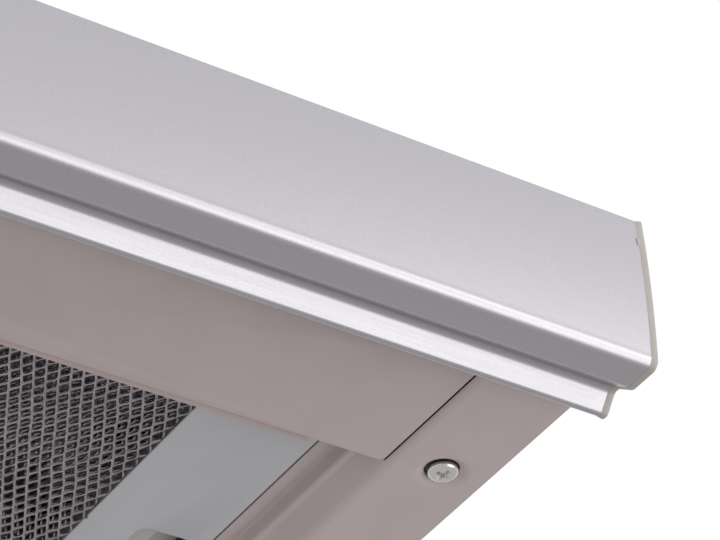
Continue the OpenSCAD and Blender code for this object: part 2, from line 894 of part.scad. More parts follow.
// Mesh: a sheet of staggered diamond cells between the frame's walls
module filter_mesh(side) {
    low = [filter_half_gap + filter_sheet + fit, filter_front + filter_sheet + fit];
    high = [plate_in - fit, filter_rear - filter_sheet - fit];
    edge = border_w - filter_sheet;
    cell = [(high[0] - low[0] - 2 * edge) / mesh_nx, (high[1] - low[1] - 2 * edge) / mesh_ny];
    half = cell / 2 - [strand_w, strand_w] * 0.35;
    on_side(side)
        translate([0, 0, filter_z + filter_sheet])
            linear_extrude(mesh_t)
                difference() {
                    translate(low)
                        square(high - low);
                    for (i = [0:mesh_nx - 1], j = [0:mesh_ny - 1])
                        translate(low + [edge, edge] + [cell[0] * (i + 0.5), cell[1] * (j + 0.5)])
                            polygon([
                                [-half[0], 0], [-half[0] * 0.3, -half[1]], [half[0] * 0.3, -half[1]],
                                [half[0], 0], [half[0] * 0.3, half[1]], [-half[0] * 0.3, half[1]]
                            ]);
                }
}
module filter_mesh_left() { color("#6a6468") filter_mesh(-1); }
module filter_mesh_right() { color("#6a6468") filter_mesh(1); }

// Latch guide: a cap over the recess, with side walls that the slider runs between
guide_top = filter_top - filter_sheet;
module latch_guide(side) {
    half = recess_len / 2 + fit;
    x_low = recess_x - recess_in + filter_sheet + fit;
    x_high = filter_x - filter_sheet - fit;
    on_side(side)
        union() {
            block(
                [x_low, filter_mid - half - plug_wall, slider_top + fit],
                [x_high, filter_mid + half + plug_wall, guide_top]
            );
            for (edge = [-1, 1])
                translate([0, filter_mid + edge * (half + plug_wall / 2), 0])
                    block(
                        [x_low, -plug_wall / 2, filter_z + filter_sheet],
                        [x_high, plug_wall / 2, guide_top]
                    );
        }
}
module latch_guide_left() { color("#58585a") latch_guide(-1); }
module latch_guide_right() { color("#58585a") latch_guide(1); }

// Latch slider: finger plate, web, roof over the pocket, and tongue
slider_end = recess_x + slider_show;
slider_tail = recess_x - recess_in + filter_sheet + latch_travel + 4 * fit;
module latch_slider(side) {
    half = recess_len / 2;
    on_side(side)
        union() {
            block(
                [slider_tail, filter_mid - half, slider_z],
                [slider_end, filter_mid + half, slider_z + slider_t]
            );
            block(
                [slider_end - slider_t, filter_mid - half, slider_z],
                [slider_end, filter_mid + half, slider_top]
            );
            block(
                [slider_end - slider_t, filter_mid - half, slider_top - slider_t],
                [recess_end - fit, filter_mid + half, slider_top]
            );
            block(
                [recess_end - 2 * fit, filter_mid - tongue_w / 2, slider_top - slider_t],
                [tongue_end, filter_mid + tongue_w / 2, slider_top]
            );
        }
}
module latch_slider_left() { color("#9c9ca0") latch_slider(-1); }
module latch_slider_right() { color("#9c9ca0") latch_slider(1); }

// Leaf spring between the filter frame's wall and the slider
module latch_spring(side) {
    leaf_t = 0.4;
    from = plate_in + filter_sheet + leaf_t;
    reach = slider_tail - fit - from;
    span = recess_len * 0.3;
    on_side(side)
        translate([from, filter_mid, slider_z])
            linear_extrude(slider_t)
                polygon(sheet_outline(
                    [[0, -span], [reach, -span * 0.25], [reach, span * 0.25], [0, span]],
                    leaf_t
                ));
}
module latch_spring_left() { color("#8a8a8c") latch_spring(-1); }
module latch_spring_right() { color("#8a8a8c") latch_spring(1); }

// Blower housing: a folded shell with foot and head flanges, its front sloped back to the top
shell_top = housing_top_z - sheet_t;
housing_outline = [
    [housing_front, frame_h], [housing_rear, frame_h], [housing_rear, shell_top],
    [housing_slope_y, shell_top], [housing_front, frame_h + housing_sill_h]
];
module housing_shell() {
    in_x = housing_x - housing_flange;
    in_rear = housing_rear - housing_flange;
    color("#a8a8aa")
    difference() {
        along_x(-housing_x, housing_x)
            polygon(housing_outline);
        along_x(-housing_x + sheet_t, housing_x - sheet_t)
            polygon(inset(housing_outline, sheet_t));
        block(
            [-in_x, housing_front + housing_flange, frame_h - over],
            [in_x, in_rear, frame_h + sheet_t + over]
        );
        block(
            [-in_x, housing_slope_y + housing_flange, shell_top - sheet_t - over],
            [in_x, in_rear, shell_top + over]
        );
        at_housing_screws()
            rod_z(-2 * sheet_t - over, over, small_screw_r);
    }
}
// Places of the screws on the housing's top
front_screw_shares = [-1, -0.34, 0.34, 1];
side_screw_shares = [0.5, 1];
module at_housing_screws() {
    x = housing_x - housing_flange / 2;
    y = [housing_slope_y + housing_flange / 2, housing_rear - housing_flange / 2];
    for (share = front_screw_shares)
        translate([share * x, y[0], housing_top_z])
            children();
    for (side = [-1, 1], share = side_screw_shares)
        translate([side * x, y[0] + (y[1] - y[0]) * share, housing_top_z])
            children();
}
module housing_top() {
    color("#aeaeb0")
    difference() {
        block([-housing_x, housing_slope_y, shell_top], [housing_x, housing_rear, housing_top_z]);
        block(
            [-scroll_x + scroll_wall, blower_y + duct_in_y, shell_top - over],
            [scroll_x - scroll_wall, blower_y + scroll_end_r, housing_top_z + over]
        );
        at_housing_screws()
            rod_z(-sheet_t - over, over, small_screw_r);
    }
}
module housing_screws() {
    color("#c9c7c6")
    at_housing_screws()
        mirror([0, 0, 1])
            pan_screw(small_head_r, small_head_h, small_screw_r - pin_fit, 3 * sheet_t);
}

// Outline of the scroll at wall offset w: spiral, then straight up to the outlet
function scroll_points(w) = concat(
    [[duct_in_y - w, housing_top_z - sheet_t - blower_z]],
    [
        for (i = [0:scroll_steps])
            let (turn = i / scroll_steps)
            let (angle = tongue_angle + (360 - tongue_angle) * turn)
            (scroll_r + scroll_grow * turn + w) * [cos(angle), sin(angle)]
    ],
    [[scroll_end_r + w, housing_top_z - sheet_t - blower_z]]
);
// Half of the blower's scroll, with one side plate and its inlet
module scroll(side) {
    on_side(side)
        translate([0, blower_y, blower_z])
            difference() {
                along_x(0, scroll_x)
                    polygon(scroll_points(scroll_wall));
                along_x(-over, scroll_x - scroll_wall)
                    polygon(concat(
                        [[duct_in_y, housing_top_z - blower_z + over]],
                        scroll_points(0),
                        [[scroll_end_r, housing_top_z - blower_z + over]]
                    ));
                rod_x(-over, scroll_x + over, inlet_r);
            }
}
module scroll_left() { color("#3c3d40") scroll(-1); }
module scroll_right() { color("#3c3d40") scroll(1); }

// Fan wheel: forward-curved blades between two rims, on a disc with a hub
hub_r = 10;
hub_w = 16;
rim_ring_w = 2.4;
blade_lead = 16;
blade_steps = 4;
// A blade's path from its inner edge, curving forward to lead by that angle at the rim
blade_path = [
    for (k = [0:blade_steps])
        let (share = k / blade_steps, lead = blade_lead * share * share)
        (wheel_r - blade_d * (1 - share)) * [cos(lead), sin(lead)]
];
module impeller() {
    color("#4a4b4f")
    translate([0, blower_y, blower_z])
        difference() {
            union() {
                along_x(-wheel_w / 2, wheel_w / 2)
                    for (i = [0:blade_n - 1])
                        rotate(i * 360 / blade_n)
                            polygon(sheet_outline(blade_path, blade_t));
                rod_x(-rim_ring_w / 2, rim_ring_w / 2, wheel_r - blade_t / 2);
                rod_x(-hub_w / 2, hub_w / 2, hub_r);
                for (x = [-wheel_w / 2, wheel_w / 2 - rim_ring_w])
                    along_x(x, x + rim_ring_w)
                        difference() {
                            circle(wheel_r + blade_t / 2, $fn = fine);
                            circle(wheel_r - blade_d / 2, $fn = fine);
                        }
            }
            rod_x(-hub_w, hub_w, shaft_r);
        }
}
motor_end = -rim_ring_w - hub_w / 2 - over;
module fan_shaft() {
    color("#b9b9bb")
    translate([0, blower_y, blower_z])
        rod_x(motor_end - motor_len + 2 * over, hub_w / 2 + 2 * over, shaft_r);
}
// Motor: a can with a stepped nose and a mounting flange
bracket_t = 2;
flange_x = -scroll_x - bracket_t;
module motor() {
    color("#77787c")
    translate([0, blower_y, blower_z])
        difference() {
            union() {
                rod_x(motor_end - motor_len, motor_end - hub_r / 2, motor_r);
                rod_x(motor_end - hub_r, motor_end, motor_r / 2);
            }
            rod_x(motor_end - motor_len + over, motor_end + over, shaft_r + pin_fit);
        }
}
// Bracket: a ring round the motor, held to the scroll's side by three arms
module motor_bracket() {
    arm_w = 9;
    seat_w = 6;
    color("#8e8f93")
    translate([0, blower_y, blower_z])
        along_x(flange_x, flange_x + bracket_t)
            difference() {
                union() {
                    circle(motor_r + seat_w / 2, $fn = fine);
                    for (i = [0:2])
                        rotate(90 + i * 120)
                            translate([0, -arm_w / 2])
                                square([inlet_r + 2 * seat_w, arm_w]);
                    difference() {
                        circle(inlet_r + 2 * seat_w, $fn = fine);
                        circle(inlet_r + seat_w, $fn = fine);
                    }
                }
                circle(motor_r, $fn = round_fn);
            }
}

collar_pin_x = collar_in_r + collar_wall / 2;
// Duct collar: a square base over the blower's outlet, and a round spigot with a ledge inside
module outlet_collar() {
    half = collar_base_w / 2;
    color("#2f3033")
    translate([0, outlet_y, 0])
        difference() {
            union() {
                block([-half, -half, housing_top_z], [half, half, collar_z]);
                rod_fine(collar_z - over, collar_z + collar_h, collar_r);
            }
            block(
                [-half + collar_wall, -half + collar_wall, housing_top_z - over],
                [half - collar_wall, half - collar_wall, collar_z - collar_wall]
            );
            rod_fine(collar_z - collar_wall - over, damper_z - stop_h - flap_t, collar_in_r);
            rod_fine(housing_top_z, damper_z, collar_in_r - stop_w);
            rod_fine(damper_z - flap_t / 2 - fit, collar_z + collar_h + over, collar_in_r);
            for (side = [-1, 1])
                translate([0, side * damper_y, damper_z])
                    rod_x(-collar_pin_x, collar_pin_x, damper_pin_r);
        }
}
module rod_fine(low, high, r) {
    translate([0, 0, low])
        cylinder(h = high - low, r = r, $fn = fine);
}
module damper_pins() {
    color("#b9b9bb")
    for (side = [-1, 1])
        translate([0, outlet_y + side * damper_y, damper_z])
            rod_x(-collar_pin_x, collar_pin_x, damper_pin_r);
}
// Damper flap: half a disc with a barrel round its pin
module damper_flap(side) {
    stop_r = collar_in_r - stop_w;
    barrel_x = sqrt(stop_r * stop_r - (damper_y + barrel_r) * (damper_y + barrel_r)) - fit;
    color("#3a3b3e")
    translate([0, outlet_y, damper_z])
        rotate([0, 0, side > 0 ? 0 : 180])
            difference() {
                union() {
                    intersection() {
                        rod_fine(-flap_t / 2, flap_t / 2, collar_in_r - over);
                        block([-collar_r, damper_y, -flap_t], [collar_r, collar_r, flap_t]);
                    }
                    translate([0, damper_y, 0])
                        rod_x(-barrel_x, barrel_x, barrel_r);
                }
                translate([0, damper_y, 0])
                    rod_x(-collar_r, collar_r, damper_pin_r + pin_fit);
            }
}
module damper_flap_front() { damper_flap(-1); }
module damper_flap_rear() { damper_flap(1); }

// Terminal box on the housing's top, with its cover, block and cable gland
terminal_half = [terminal_w / 2, terminal_d / 2];
lid_t = 2;
gland_z = (terminal_h - lid_t) * 0.48;
module terminal_box() {
    w = terminal_wall;
    color("#2c2d30")
    translate([terminal_x, terminal_y, terminal_z])
        difference() {
            block(
                [-terminal_half[0], -terminal_half[1], 0],
                [terminal_half[0], terminal_half[1], terminal_h - lid_t]
            );
            block(
                [-terminal_half[0] + w, -terminal_half[1] + w, w],
                [terminal_half[0] - w, terminal_half[1] - w, terminal_h]
            );
            translate([0, 0, gland_z])
                rod_x(terminal_half[0] - w - over, terminal_half[0] + over, 2 * gland_r);
        }
}
module terminal_cover() {
    color("#333438")
    translate([terminal_x, terminal_y, terminal_z]) {
        block(
            [-terminal_half[0], -terminal_half[1], terminal_h - lid_t],
            [terminal_half[0], terminal_half[1], terminal_h]
        );
        for (side = [-1, 1])
            translate([side * (terminal_half[0] - terminal_wall - fit - over), 0, 0])
                block(
                    [-over, -terminal_d / 4, terminal_h - 3 * lid_t],
                    [over, terminal_d / 4, terminal_h - lid_t]
                );
    }
}
module terminal_block() {
    poles = 3;
    pole_w = 10;
    pole_d = 16;
    pole_h = 12;
    color("#d8d6d0")
    translate([terminal_x - terminal_w / 8, terminal_y, terminal_z + terminal_wall])
        difference() {
            block([-poles * pole_w / 2, -pole_d / 2, 0], [poles * pole_w / 2, pole_d / 2, pole_h]);
            for (i = [0:poles - 1], y = [-pole_d / 4, pole_d / 4])
                translate([(i + 0.5 - poles / 2) * pole_w, y, 0])
                    rod_z(pole_h / 2, pole_h + over, pole_w / 4);
        }
}
// Gland: a collar through the box's wall, a hexagonal nut and a rounded nose
module cable_gland() {
    nut_len = 6;
    color("#2c2d30")
    translate([gland_x, terminal_y, terminal_z + gland_z])
        difference() {
            union() {
                rod_x(-terminal_wall - 3 * over, 0, 2 * gland_r - pin_fit);
                along_x(0, nut_len)
                    circle(2.6 * gland_r, $fn = 6);
                rod_x(nut_len, 2 * nut_len, 1.9 * gland_r);
            }
            rod_x(-terminal_wall - 4 * over, 2 * nut_len + over, gland_r);
        }
}
// Motor capacitor, with a stud on the housing's back wall
capacitor_share = 0.59;
module capacitor() {
    cap_r = 14;
    cap_len = 46;
    neck = 4;
    color("#c8c4bc")
    translate([-capacitor_share * housing_x, housing_rear - sheet_t, blower_z]) {
        rod_y(-cap_len - neck, -neck, cap_r);
        rod_y(-neck, 0, cap_r / 3);
    }
}

// Switch that senses the closed tray, with its sprung plunger
sense_w = 20;
sense_h = 12;
sense_front = -rear_d * 0.72;
module micro_switch() {
    color("#26272a")
    difference() {
        block(
            [switch_x - sense_w / 2, sense_front, switch_z - sense_h / 2],
            [switch_x + sense_w / 2, -sheet_t, switch_z + sense_h / 2]
        );
        translate([switch_x, 0, switch_z])
            rod_y(sense_front - over, sense_front + 3 * plunger_travel, plunger_r + pin_fit);
    }
}
module switch_plunger() {
    color("#b03a2e")
    translate([switch_x, 0, switch_z])
        rod_y(tray_rear + fit, sense_front + 2 * plunger_travel - fit, plunger_r);
}

// Lamp: a tub behind the panel with a thin rim below it, and a lens inside
lamp_h = 14;
lens_t = 1.4;
module lamp_housing(side) {
    inner = lamp_rim - [rim_w, rim_w];
    body = lamp_rim - [rim_w, rim_w] / 2 - [fit, fit];
    color("#cfccc8")
    translate([side * lamp_x, panel_mid, 0])
        difference() {
            union() {
                block([-lamp_rim[0], -lamp_rim[1], -rim_t], [lamp_rim[0], lamp_rim[1], 0]);
                block([-body[0], -body[1], -rim_t], [body[0], body[1], lamp_h]);
            }
            block([-inner[0], -inner[1], -rim_t - over], [inner[0], inner[1], lens_t]);
            block(
                [-inner[0] + over, -inner[1] + over, 0],
                [inner[0] - over, inner[1] - over, lamp_h - sheet_t]
            );
        }
}
module lamp_lens(side) {
    half = [lens_w / 2 - pin_fit, lens_d / 2 - pin_fit];
    color("#f2efe6")
    translate([side * lamp_x, panel_mid, 0])
        block([-half[0], -half[1], -rim_t / 2], [half[0], half[1], lens_t]);
}
module lamp_housing_left() { lamp_housing(-1); }
module lamp_housing_right() { lamp_housing(1); }
module lamp_lens_left() { lamp_lens(-1); }
module lamp_lens_right() { lamp_lens(1); }

// Switches: a bezel with two slots, a block behind it, and a slider in each slot
block_h = 15;
slot_w = 3;
knob = [9, 6, 2.6];
slider_x = [-24, 14];
travels = [light_travel, fan_travel];
foot_h = 2.4;
foot_x = 5;
module switch_bezel() {
    color("#5a5658")
    translate([0, panel_mid, 0])
        difference() {
            union() {
                block([-switch_rim[0], -switch_rim[1], -rim_t], [switch_rim[0], switch_rim[1], 0]);
                block(
                    [-switch_rim[0] + rim_w + fit, -switch_rim[1] + rim_w + fit, -rim_t],
                    [switch_rim[0] - rim_w - fit, switch_rim[1] - rim_w - fit, sheet_t]
                );
            }
            for (i = [0, 1])
                block(
                    [slider_x[i] - slot_w / 2 - fit, -slot_w / 2 - fit, -rim_t - over],
                    [slider_x[i] + slot_w / 2 + travels[i] + fit, slot_w / 2 + fit, sheet_t + over]
                );
        }
}
module switch_block() {
    color("#d8d6d0")
    translate([0, panel_mid, 0])
        difference() {
            block(
                [-switch_rim[0], -switch_rim[1], sheet_t],
                [switch_rim[0], switch_rim[1], sheet_t + block_h]
            );
            for (i = [0, 1])
                block(
                    [slider_x[i] - foot_x - fit, -knob[1] / 2 - fit, sheet_t - over],
                    [slider_x[i] + foot_x + travels[i] + fit, knob[1] / 2 + fit, sheet_t + foot_h + 2 * fit]
                );
        }
}
// Slider: a ribbed knob below the bezel, a stem through the slot and a foot above it
module slider(i) {
    ribs = 4;
    pitch = knob[0] / ribs;
    color("#3b3a3c")
    translate([slider_x[i], panel_mid, 0])
        difference() {
            union() {
                block(
                    [-knob[0] / 2, -knob[1] / 2, -rim_t - fit / 2 - knob[2]],
                    [knob[0] / 2, knob[1] / 2, -rim_t - fit / 2]
                );
                block(
                    [-slot_w / 2, -slot_w / 2, -rim_t - fit],
                    [slot_w / 2, slot_w / 2, sheet_t + fit]
                );
                block(
                    [-foot_x, -knob[1] / 2, sheet_t + fit / 2],
                    [foot_x, knob[1] / 2, sheet_t + foot_h]
                );
            }
            for (k = [0:ribs - 1])
                translate([(k + 0.5 - ribs / 2) * pitch, 0, -rim_t - fit / 2 - knob[2]])
                    block([-pitch / 4, -knob[1], -over], [pitch / 4, knob[1], knob[2] / 4]);
        }
}
module light_slider() { slider(0); }
module fan_slider() { slider(1); }

base_frame();
side_flange_left();
side_flange_right();
rear_cross_member();
flange_screws();
runner_outer_left();
runner_outer_right();
runner_middle_left();
runner_middle_right();
runner_inner_left();
runner_inner_right();
front_strip();
end_cap_left();
end_cap_right();
strip_screws();
front_panel();
panel_rail();
tray_side_left();
tray_side_right();
tray_rear_bar();
tray_cover();
tray_divider();
filter_frame_left();
filter_frame_right();
filter_mesh_left();
filter_mesh_right();
latch_guide_left();
latch_guide_right();
latch_slider_left();
latch_slider_right();
latch_spring_left();
latch_spring_right();
housing_shell();
housing_top();
housing_screws();
scroll_left();
scroll_right();
impeller();
fan_shaft();
motor();
motor_bracket();
outlet_collar();
damper_pins();
damper_flap_front();
damper_flap_rear();
terminal_box();
terminal_cover();
terminal_block();
cable_gland();
capacitor();
micro_switch();
switch_plunger();
lamp_housing_left();
lamp_housing_right();
lamp_lens_left();
lamp_lens_right();
switch_block();
switch_bezel();
fan_slider();
light_slider();
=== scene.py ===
"""Looks of a pull-out range hood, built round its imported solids. X right, Y back to the wall, Z up."""
import json
import math

import bmesh
import bpy
from mathutils import Matrix, Vector

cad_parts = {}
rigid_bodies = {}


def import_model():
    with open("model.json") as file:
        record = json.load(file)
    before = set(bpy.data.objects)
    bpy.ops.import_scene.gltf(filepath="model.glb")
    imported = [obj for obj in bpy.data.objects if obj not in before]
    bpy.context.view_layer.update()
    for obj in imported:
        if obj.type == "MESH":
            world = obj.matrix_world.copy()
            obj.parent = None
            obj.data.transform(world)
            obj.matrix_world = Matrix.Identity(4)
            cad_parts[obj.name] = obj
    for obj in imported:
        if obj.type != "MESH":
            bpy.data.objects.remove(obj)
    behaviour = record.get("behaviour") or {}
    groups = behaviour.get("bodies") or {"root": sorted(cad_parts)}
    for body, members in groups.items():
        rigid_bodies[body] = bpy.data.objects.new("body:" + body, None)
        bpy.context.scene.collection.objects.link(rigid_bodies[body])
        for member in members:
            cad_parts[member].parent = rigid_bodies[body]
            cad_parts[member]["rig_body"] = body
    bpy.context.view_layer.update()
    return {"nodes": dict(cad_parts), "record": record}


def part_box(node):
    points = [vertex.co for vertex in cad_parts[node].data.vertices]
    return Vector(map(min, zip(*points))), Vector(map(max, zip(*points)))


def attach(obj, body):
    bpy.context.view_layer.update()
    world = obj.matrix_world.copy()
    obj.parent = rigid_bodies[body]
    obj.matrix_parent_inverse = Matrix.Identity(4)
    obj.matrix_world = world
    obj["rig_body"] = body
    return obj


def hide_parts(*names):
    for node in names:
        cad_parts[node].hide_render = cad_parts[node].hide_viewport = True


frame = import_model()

NODES = frame["nodes"]
SLOT_OF = {s["node"]: s["material_slot"] for s in frame["record"]["subparts"]}

MM = 0.001

# Sizes below are in millimetres, with the flanges' underside at Z 0 and the wall at Y 0

# Handle strip, from its foremost point and its flat bottom

STRIP_H = 42.2
STRIP_DROP = 6.9
STRIP_BULGE = 1.3
BULGE_Z = STRIP_H * 0.68
STRIP_EDGE_R = 2.7
STRIP_CORNER_R = STRIP_EDGE_R * 0.95
STRIP_DEEP = 24.6
FOOT_W = 9.7
FOOT_R = STRIP_EDGE_R * 0.8
FOOT_SLOPE_W = 5.0
COVE_H = 3.6
LIP_W = 1.9
LIP_LEAN = 1.0
LIP_SLOPE_W = 3.7
LIP_DROP = 0.8
LIP_EDGE_R = LIP_W * 0.67
LIP_STRAIGHT_Z = STRIP_DROP * 0.85

# End caps, and the tab on each one's inner edge with its rings as (scale, depth)

CAP_PROUD = 0.3
CAP_SEAT_PROUD = 0.03
CAP_SKIRT_PROUD = CAP_PROUD * 0.35
CAP_SKIRT_W = 0.3
CAP_EDGE_R = 0.6
TAB_OUTLINE = [(-0.5, -1.5), (0.6, -1.6), (0.6, 1.1), (0.1, 1.5), (-0.8, 0.9)]
TAB_Y = -289.75
TAB_Z = 28.9
TAB_RINGS = [(1.0, 0.6), (1.0, -0.1), (0.75, -0.4)]

# Side flanges: ledge, ridge and shoulder of the stepped channel, and the slit beside the panel's end

SHEET_T = 1.0
FRAME_X = 295.5
STEP_IN = 257.15
STEP_RISE = 9.0
LEDGE_W = 4.5
LEDGE_R = 1.12
RIDGE_W = 1.6
RIDGE_Z = 4.95
RIDGE_IN_R = 1.15
RIDGE_OUT_R = 0.64
SHOULDER_X = 269.95
SHOULDER_R = 4.8
SHOULDER_FLAT_W = 4.0
SLIT_X = (267.3, 269.0)
SLIT_END_Y = -217.9

# Flange screws, and the pressed dimple round each, its rings as (radius, depth) from the sheet inwards

SCREW_X = 284.0
SCREW_Y = (-221.0, -132.92, -44.84)
REAR_SCREW_X = FRAME_X * 0.62
SCREW_HEAD_R = 4.0
SCREW_HEAD_DRAWN_R = SCREW_HEAD_R * 0.975
SCREW_HEAD_H = 1.7
SCREW_SHANK_R = 1.8
SCREW_SPIN_DEG = 44
DIMPLE_D = 1.2
DIMPLE_HALF_W = 7.5
DIMPLE_STEPS = 12
DIMPLE_RINGS = [
    (7.3, 0.0), (6.8, 0.05), (6.3, 0.18), (5.8, 0.41), (5.3, 0.68), (4.9, 0.88), (4.62, 0.99), (4.48, 1.1),
    (4.43, DIMPLE_D),
]
# Profile (radius, z) of a dark disc behind each screw hole: painted shade that keeps the gap round the head
# dark
SHADE_DISC_PROFILE = [(0, 1.75), (5.6, 1.75), (5.8, 1.85), (5.8, 2.05), (5.6, 2.15), (0, 2.15)]

# How far each hole lies off its screw's middle, fading out from HOLE_SHIFT_R to the dimple's edge

HOLE_SHIFT = (-0.45, -0.2)
HOLE_SHIFT_R = 4.4
HOLE_SHIFT_FADE_W = 2.8

# Filters: the plate's rolled rim, and the foil, whose cells are counted from MESH_CORNER inwards

PLATE_IN = 222.95
RIM_HALF_W = 0.42
RIM_HALF_H = 0.36
RIM_LIFT = 0.3
RIM_SINK = 0.05
RIM_RUNS = {"front": (-209.0, -154.3), "rear": (-153.1, -45.0)}
MESH_CORNER = (221.2, -178.2)
MESH_IN_X = 4.5
MESH_EDGE = 0.8
MESH_MARGIN = 1.0
MESH_ROWS = range(-30, 60)
MESH_WELD = 0.05
MESH_WAVE = (0.9, 1.0, 1.2)
MESH_WAVE_SIZE = 10.0
STRAND_ROUND = 0.18

# Where the sides of a cell, an eye and an edge lobe bulge to, as shares of half width and half length

CELL_BELLY = (0.5, 0.5)
EYE_BELLY = (0.64, 0.53)
LOBE_BELLY = (0.68, 0.43)
LOBE_TIP = 0.93

# Sheets of foil, from the one that is seen to the one behind

FOIL_SHEETS = {
    "front": dict(
        cell=(3.3, 6.5), eye=(2.25, 4.4), tilt=0.24, thick=0.4, z=8.75, shift=(0.0, 0.0), skew=0.0),
    "middle": dict(
        cell=(3.42, 6.3), eye=(2.15, 4.1), tilt=0.3, thick=0.25, z=10.1, shift=(0.33, 0.9), skew=0.05),
    "back": dict(
        cell=(3.2, 6.8), eye=(2.0, 4.2), tilt=-0.35, thick=0.25, z=12.0, shift=(0.12, 2.1), skew=0.05),
}

# Width of the rounded edges on the solids that keep their shape

EDGES = {
    "front_panel": 0.5, "panel_rail": 0.08, "filter_frame_left": 0.2, "filter_frame_right": 0.2,
    "latch_slider_left": 0.25, "latch_slider_right": 0.25,
}

# Camera place and lens in millimetres; heading from Y towards X, rise and roll in degrees

CAMERA_PLACE = (-169.8, -823.1, -513.3)
CAMERA_HEADING = 35.768
CAMERA_RISE = 37.466
CAMERA_ROLL = -4.544
CAMERA_LENS = 186.65
CAMERA_SENSOR_W = 36

# Lamps and floor, in metres and watts

LAMPS = {
    "key_lamp": dict(place=(1.6, -2.4, -1.56), target=(0.2, -0.25, 0.0), size=2.3, power=37),
    "front_lamp": dict(place=(1.74, -2.05, 0.44), target=(0.25, -0.25, 0.0), size=1.2, power=14),
    "top_lamp": dict(place=(-0.9, 0.9, 1.9), target=(0.0, -0.1, 0.1), size=1.4, power=9),
}
FLOOR_Z = -6
FLOOR_HALF_W = 20

# Shader helpers


def linear(hex_colour):
    """An sRGB hex colour as linear RGBA."""
    parts = [int(hex_colour[i:i + 2], 16) / 255 for i in (1, 3, 5)]
    return [c / 12.92 if c <= 0.04045 else ((c + 0.055) / 1.055) ** 2.4 for c in parts] + [1.0]


def add(tree, kind, settings=None, **inputs):
    """Adds a node; an input is a value, or an output socket to link from, and _1 is the input number 1."""
    node = tree.nodes.new(kind)
    for name, value in (settings or {}).items():
        setattr(node, name, value)
    for name, value in inputs.items():
        socket = node.inputs[int(name[1:])] if name[1:].isdigit() else node.inputs[name.replace("_", " ")]
        if isinstance(value, bpy.types.NodeSocket):
            tree.links.new(value, socket)
        else:
            socket.default_value = value
    return node


def new_material(name, colour, roughness, metallic=0.0, **sockets):
    """A material whose shader has these uniform values; returns it with its tree, shader and coordinates."""
    material = bpy.data.materials.new(name)
    material.use_nodes = True
    tree = material.node_tree
    shader = tree.nodes["Principled BSDF"]
    shader.inputs["Base Color"].default_value = linear(colour)
    shader.inputs["Roughness"].default_value = roughness
    shader.inputs["Metallic"].default_value = metallic
    for socket, value in sockets.items():
        shader.inputs[socket.replace("_", " ")].default_value = value
    place = add(tree, "ShaderNodeTexCoord").outputs["Object"]
    return material, tree, shader, place


def noise(tree, place, grain_mm, detail=3.0, stretch=(1, 1, 1)):
    """Noise whose features are about grain_mm across, drawn out along an axis by stretch."""
    scaled = add(tree, "ShaderNodeMapping", Vector=place, Scale=stretch)
    return add(tree, "ShaderNodeTexNoise", Vector=scaled.outputs[0],
               Scale=1 / (grain_mm * MM), Detail=detail).outputs["Fac"]


def vary_colour(tree, shader, factor, dark, light, low=0.3, high=0.7):
    """Base colour between two hex colours, by a factor taken from low to high."""
    share = add(tree, "ShaderNodeMapRange", Value=factor, From_Min=low, From_Max=high)
    mix = add(tree, "ShaderNodeMix", {"data_type": "RGBA"}, Factor=share.outputs[0], _6=linear(dark),
              _7=linear(light))
    tree.links.new(mix.outputs[2], shader.inputs["Base Color"])


def vary_roughness(tree, shader, factor, low, high):
    share = add(tree, "ShaderNodeMapRange", Value=factor,
                From_Min=0.3, From_Max=0.7, To_Min=low, To_Max=high)
    tree.links.new(share.outputs[0], shader.inputs["Roughness"])


def bump(tree, shader, height, depth_mm):
    raised = add(tree, "ShaderNodeBump", Height=height, Distance=depth_mm * MM, Strength=1.0)
    tree.links.new(raised.outputs[0], shader.inputs["Normal"])


# Materials


def powder_coat(name, dark, light):
    """Polyester powder coat on sheet steel: an even satin warm grey with a faint orange peel."""
    material, tree, shader, place = new_material(name, dark, 0.46, Specular_IOR_Level=0.4)
    peel = noise(tree, place, 1.6, 2.0)
    vary_colour(tree, shader, noise(tree, place, 14.0, 4.0), dark, light)
    vary_roughness(tree, shader, noise(tree, place, 5.0), 0.42, 0.5)
    bump(tree, shader, peel, 0.012)
    return material


def anodised_aluminium():
    """Bead-blasted and anodised extrusion: bright satin with a fine sparkle and die lines along it.

    The blasted grain is about 0.1 mm in the metal and drawn five times as coarse, so that it shows.
    """
    material, tree, shader, place = new_material("satin_anodised_aluminium", "#b1afb4", 0.43, 0.9)
    lines = noise(tree, place, 0.35, 2.0, (0.01, 1, 1))
    sparkle = noise(tree, place, 0.5, 2.0)
    vary_colour(tree, shader, sparkle, "#aeacb1", "#b4b2b7")
    vary_roughness(tree, shader, lines, 0.41, 0.45)
    bump(tree, shader, sparkle, 0.006)
    return material


def moulded_plastic(name, colour, light, roughness=0.5):
    """Injection-moulded plastic: even colour with a spark-eroded grain, drawn coarser than it is."""
    material, tree, shader, place = new_material(name, colour, roughness)
    vary_colour(tree, shader, noise(tree, place, 9.0, 3.0), colour, light)
    bump(tree, shader, noise(tree, place, 0.45, 2.0), 0.012)
    return material


def galvanised_sheet():
    """Hot-dip galvanised sheet: cold grey with soft spangle patches a few millimetres wide."""
    material, tree, shader, place = new_material("galvanised_sheet", "#a9abae", 0.42, 0.8)
    spangle = add(tree, "ShaderNodeTexVoronoi", Vector=place, Scale=1 / (7 * MM)).outputs["Distance"]
    vary_colour(tree, shader, spangle, "#a9abae", "#babcbe", 0.1, 0.8)
    vary_roughness(tree, shader, noise(tree, place, 4.0), 0.36, 0.5)
    return material


def plain_steel(name, colour, light, roughness, stretch=(1, 1, 1)):
    """Zinc-plated or bright steel: metal with fine marks, drawn along its length where stretched."""
    material, tree, shader, place = new_material(name, colour, roughness, 1.0)
    vary_colour(tree, shader, noise(tree, place, 0.4, 3.0, stretch), colour, light)
    vary_roughness(tree, shader, noise(tree, place, 3.0), roughness - 0.06, roughness + 0.06)
    return material


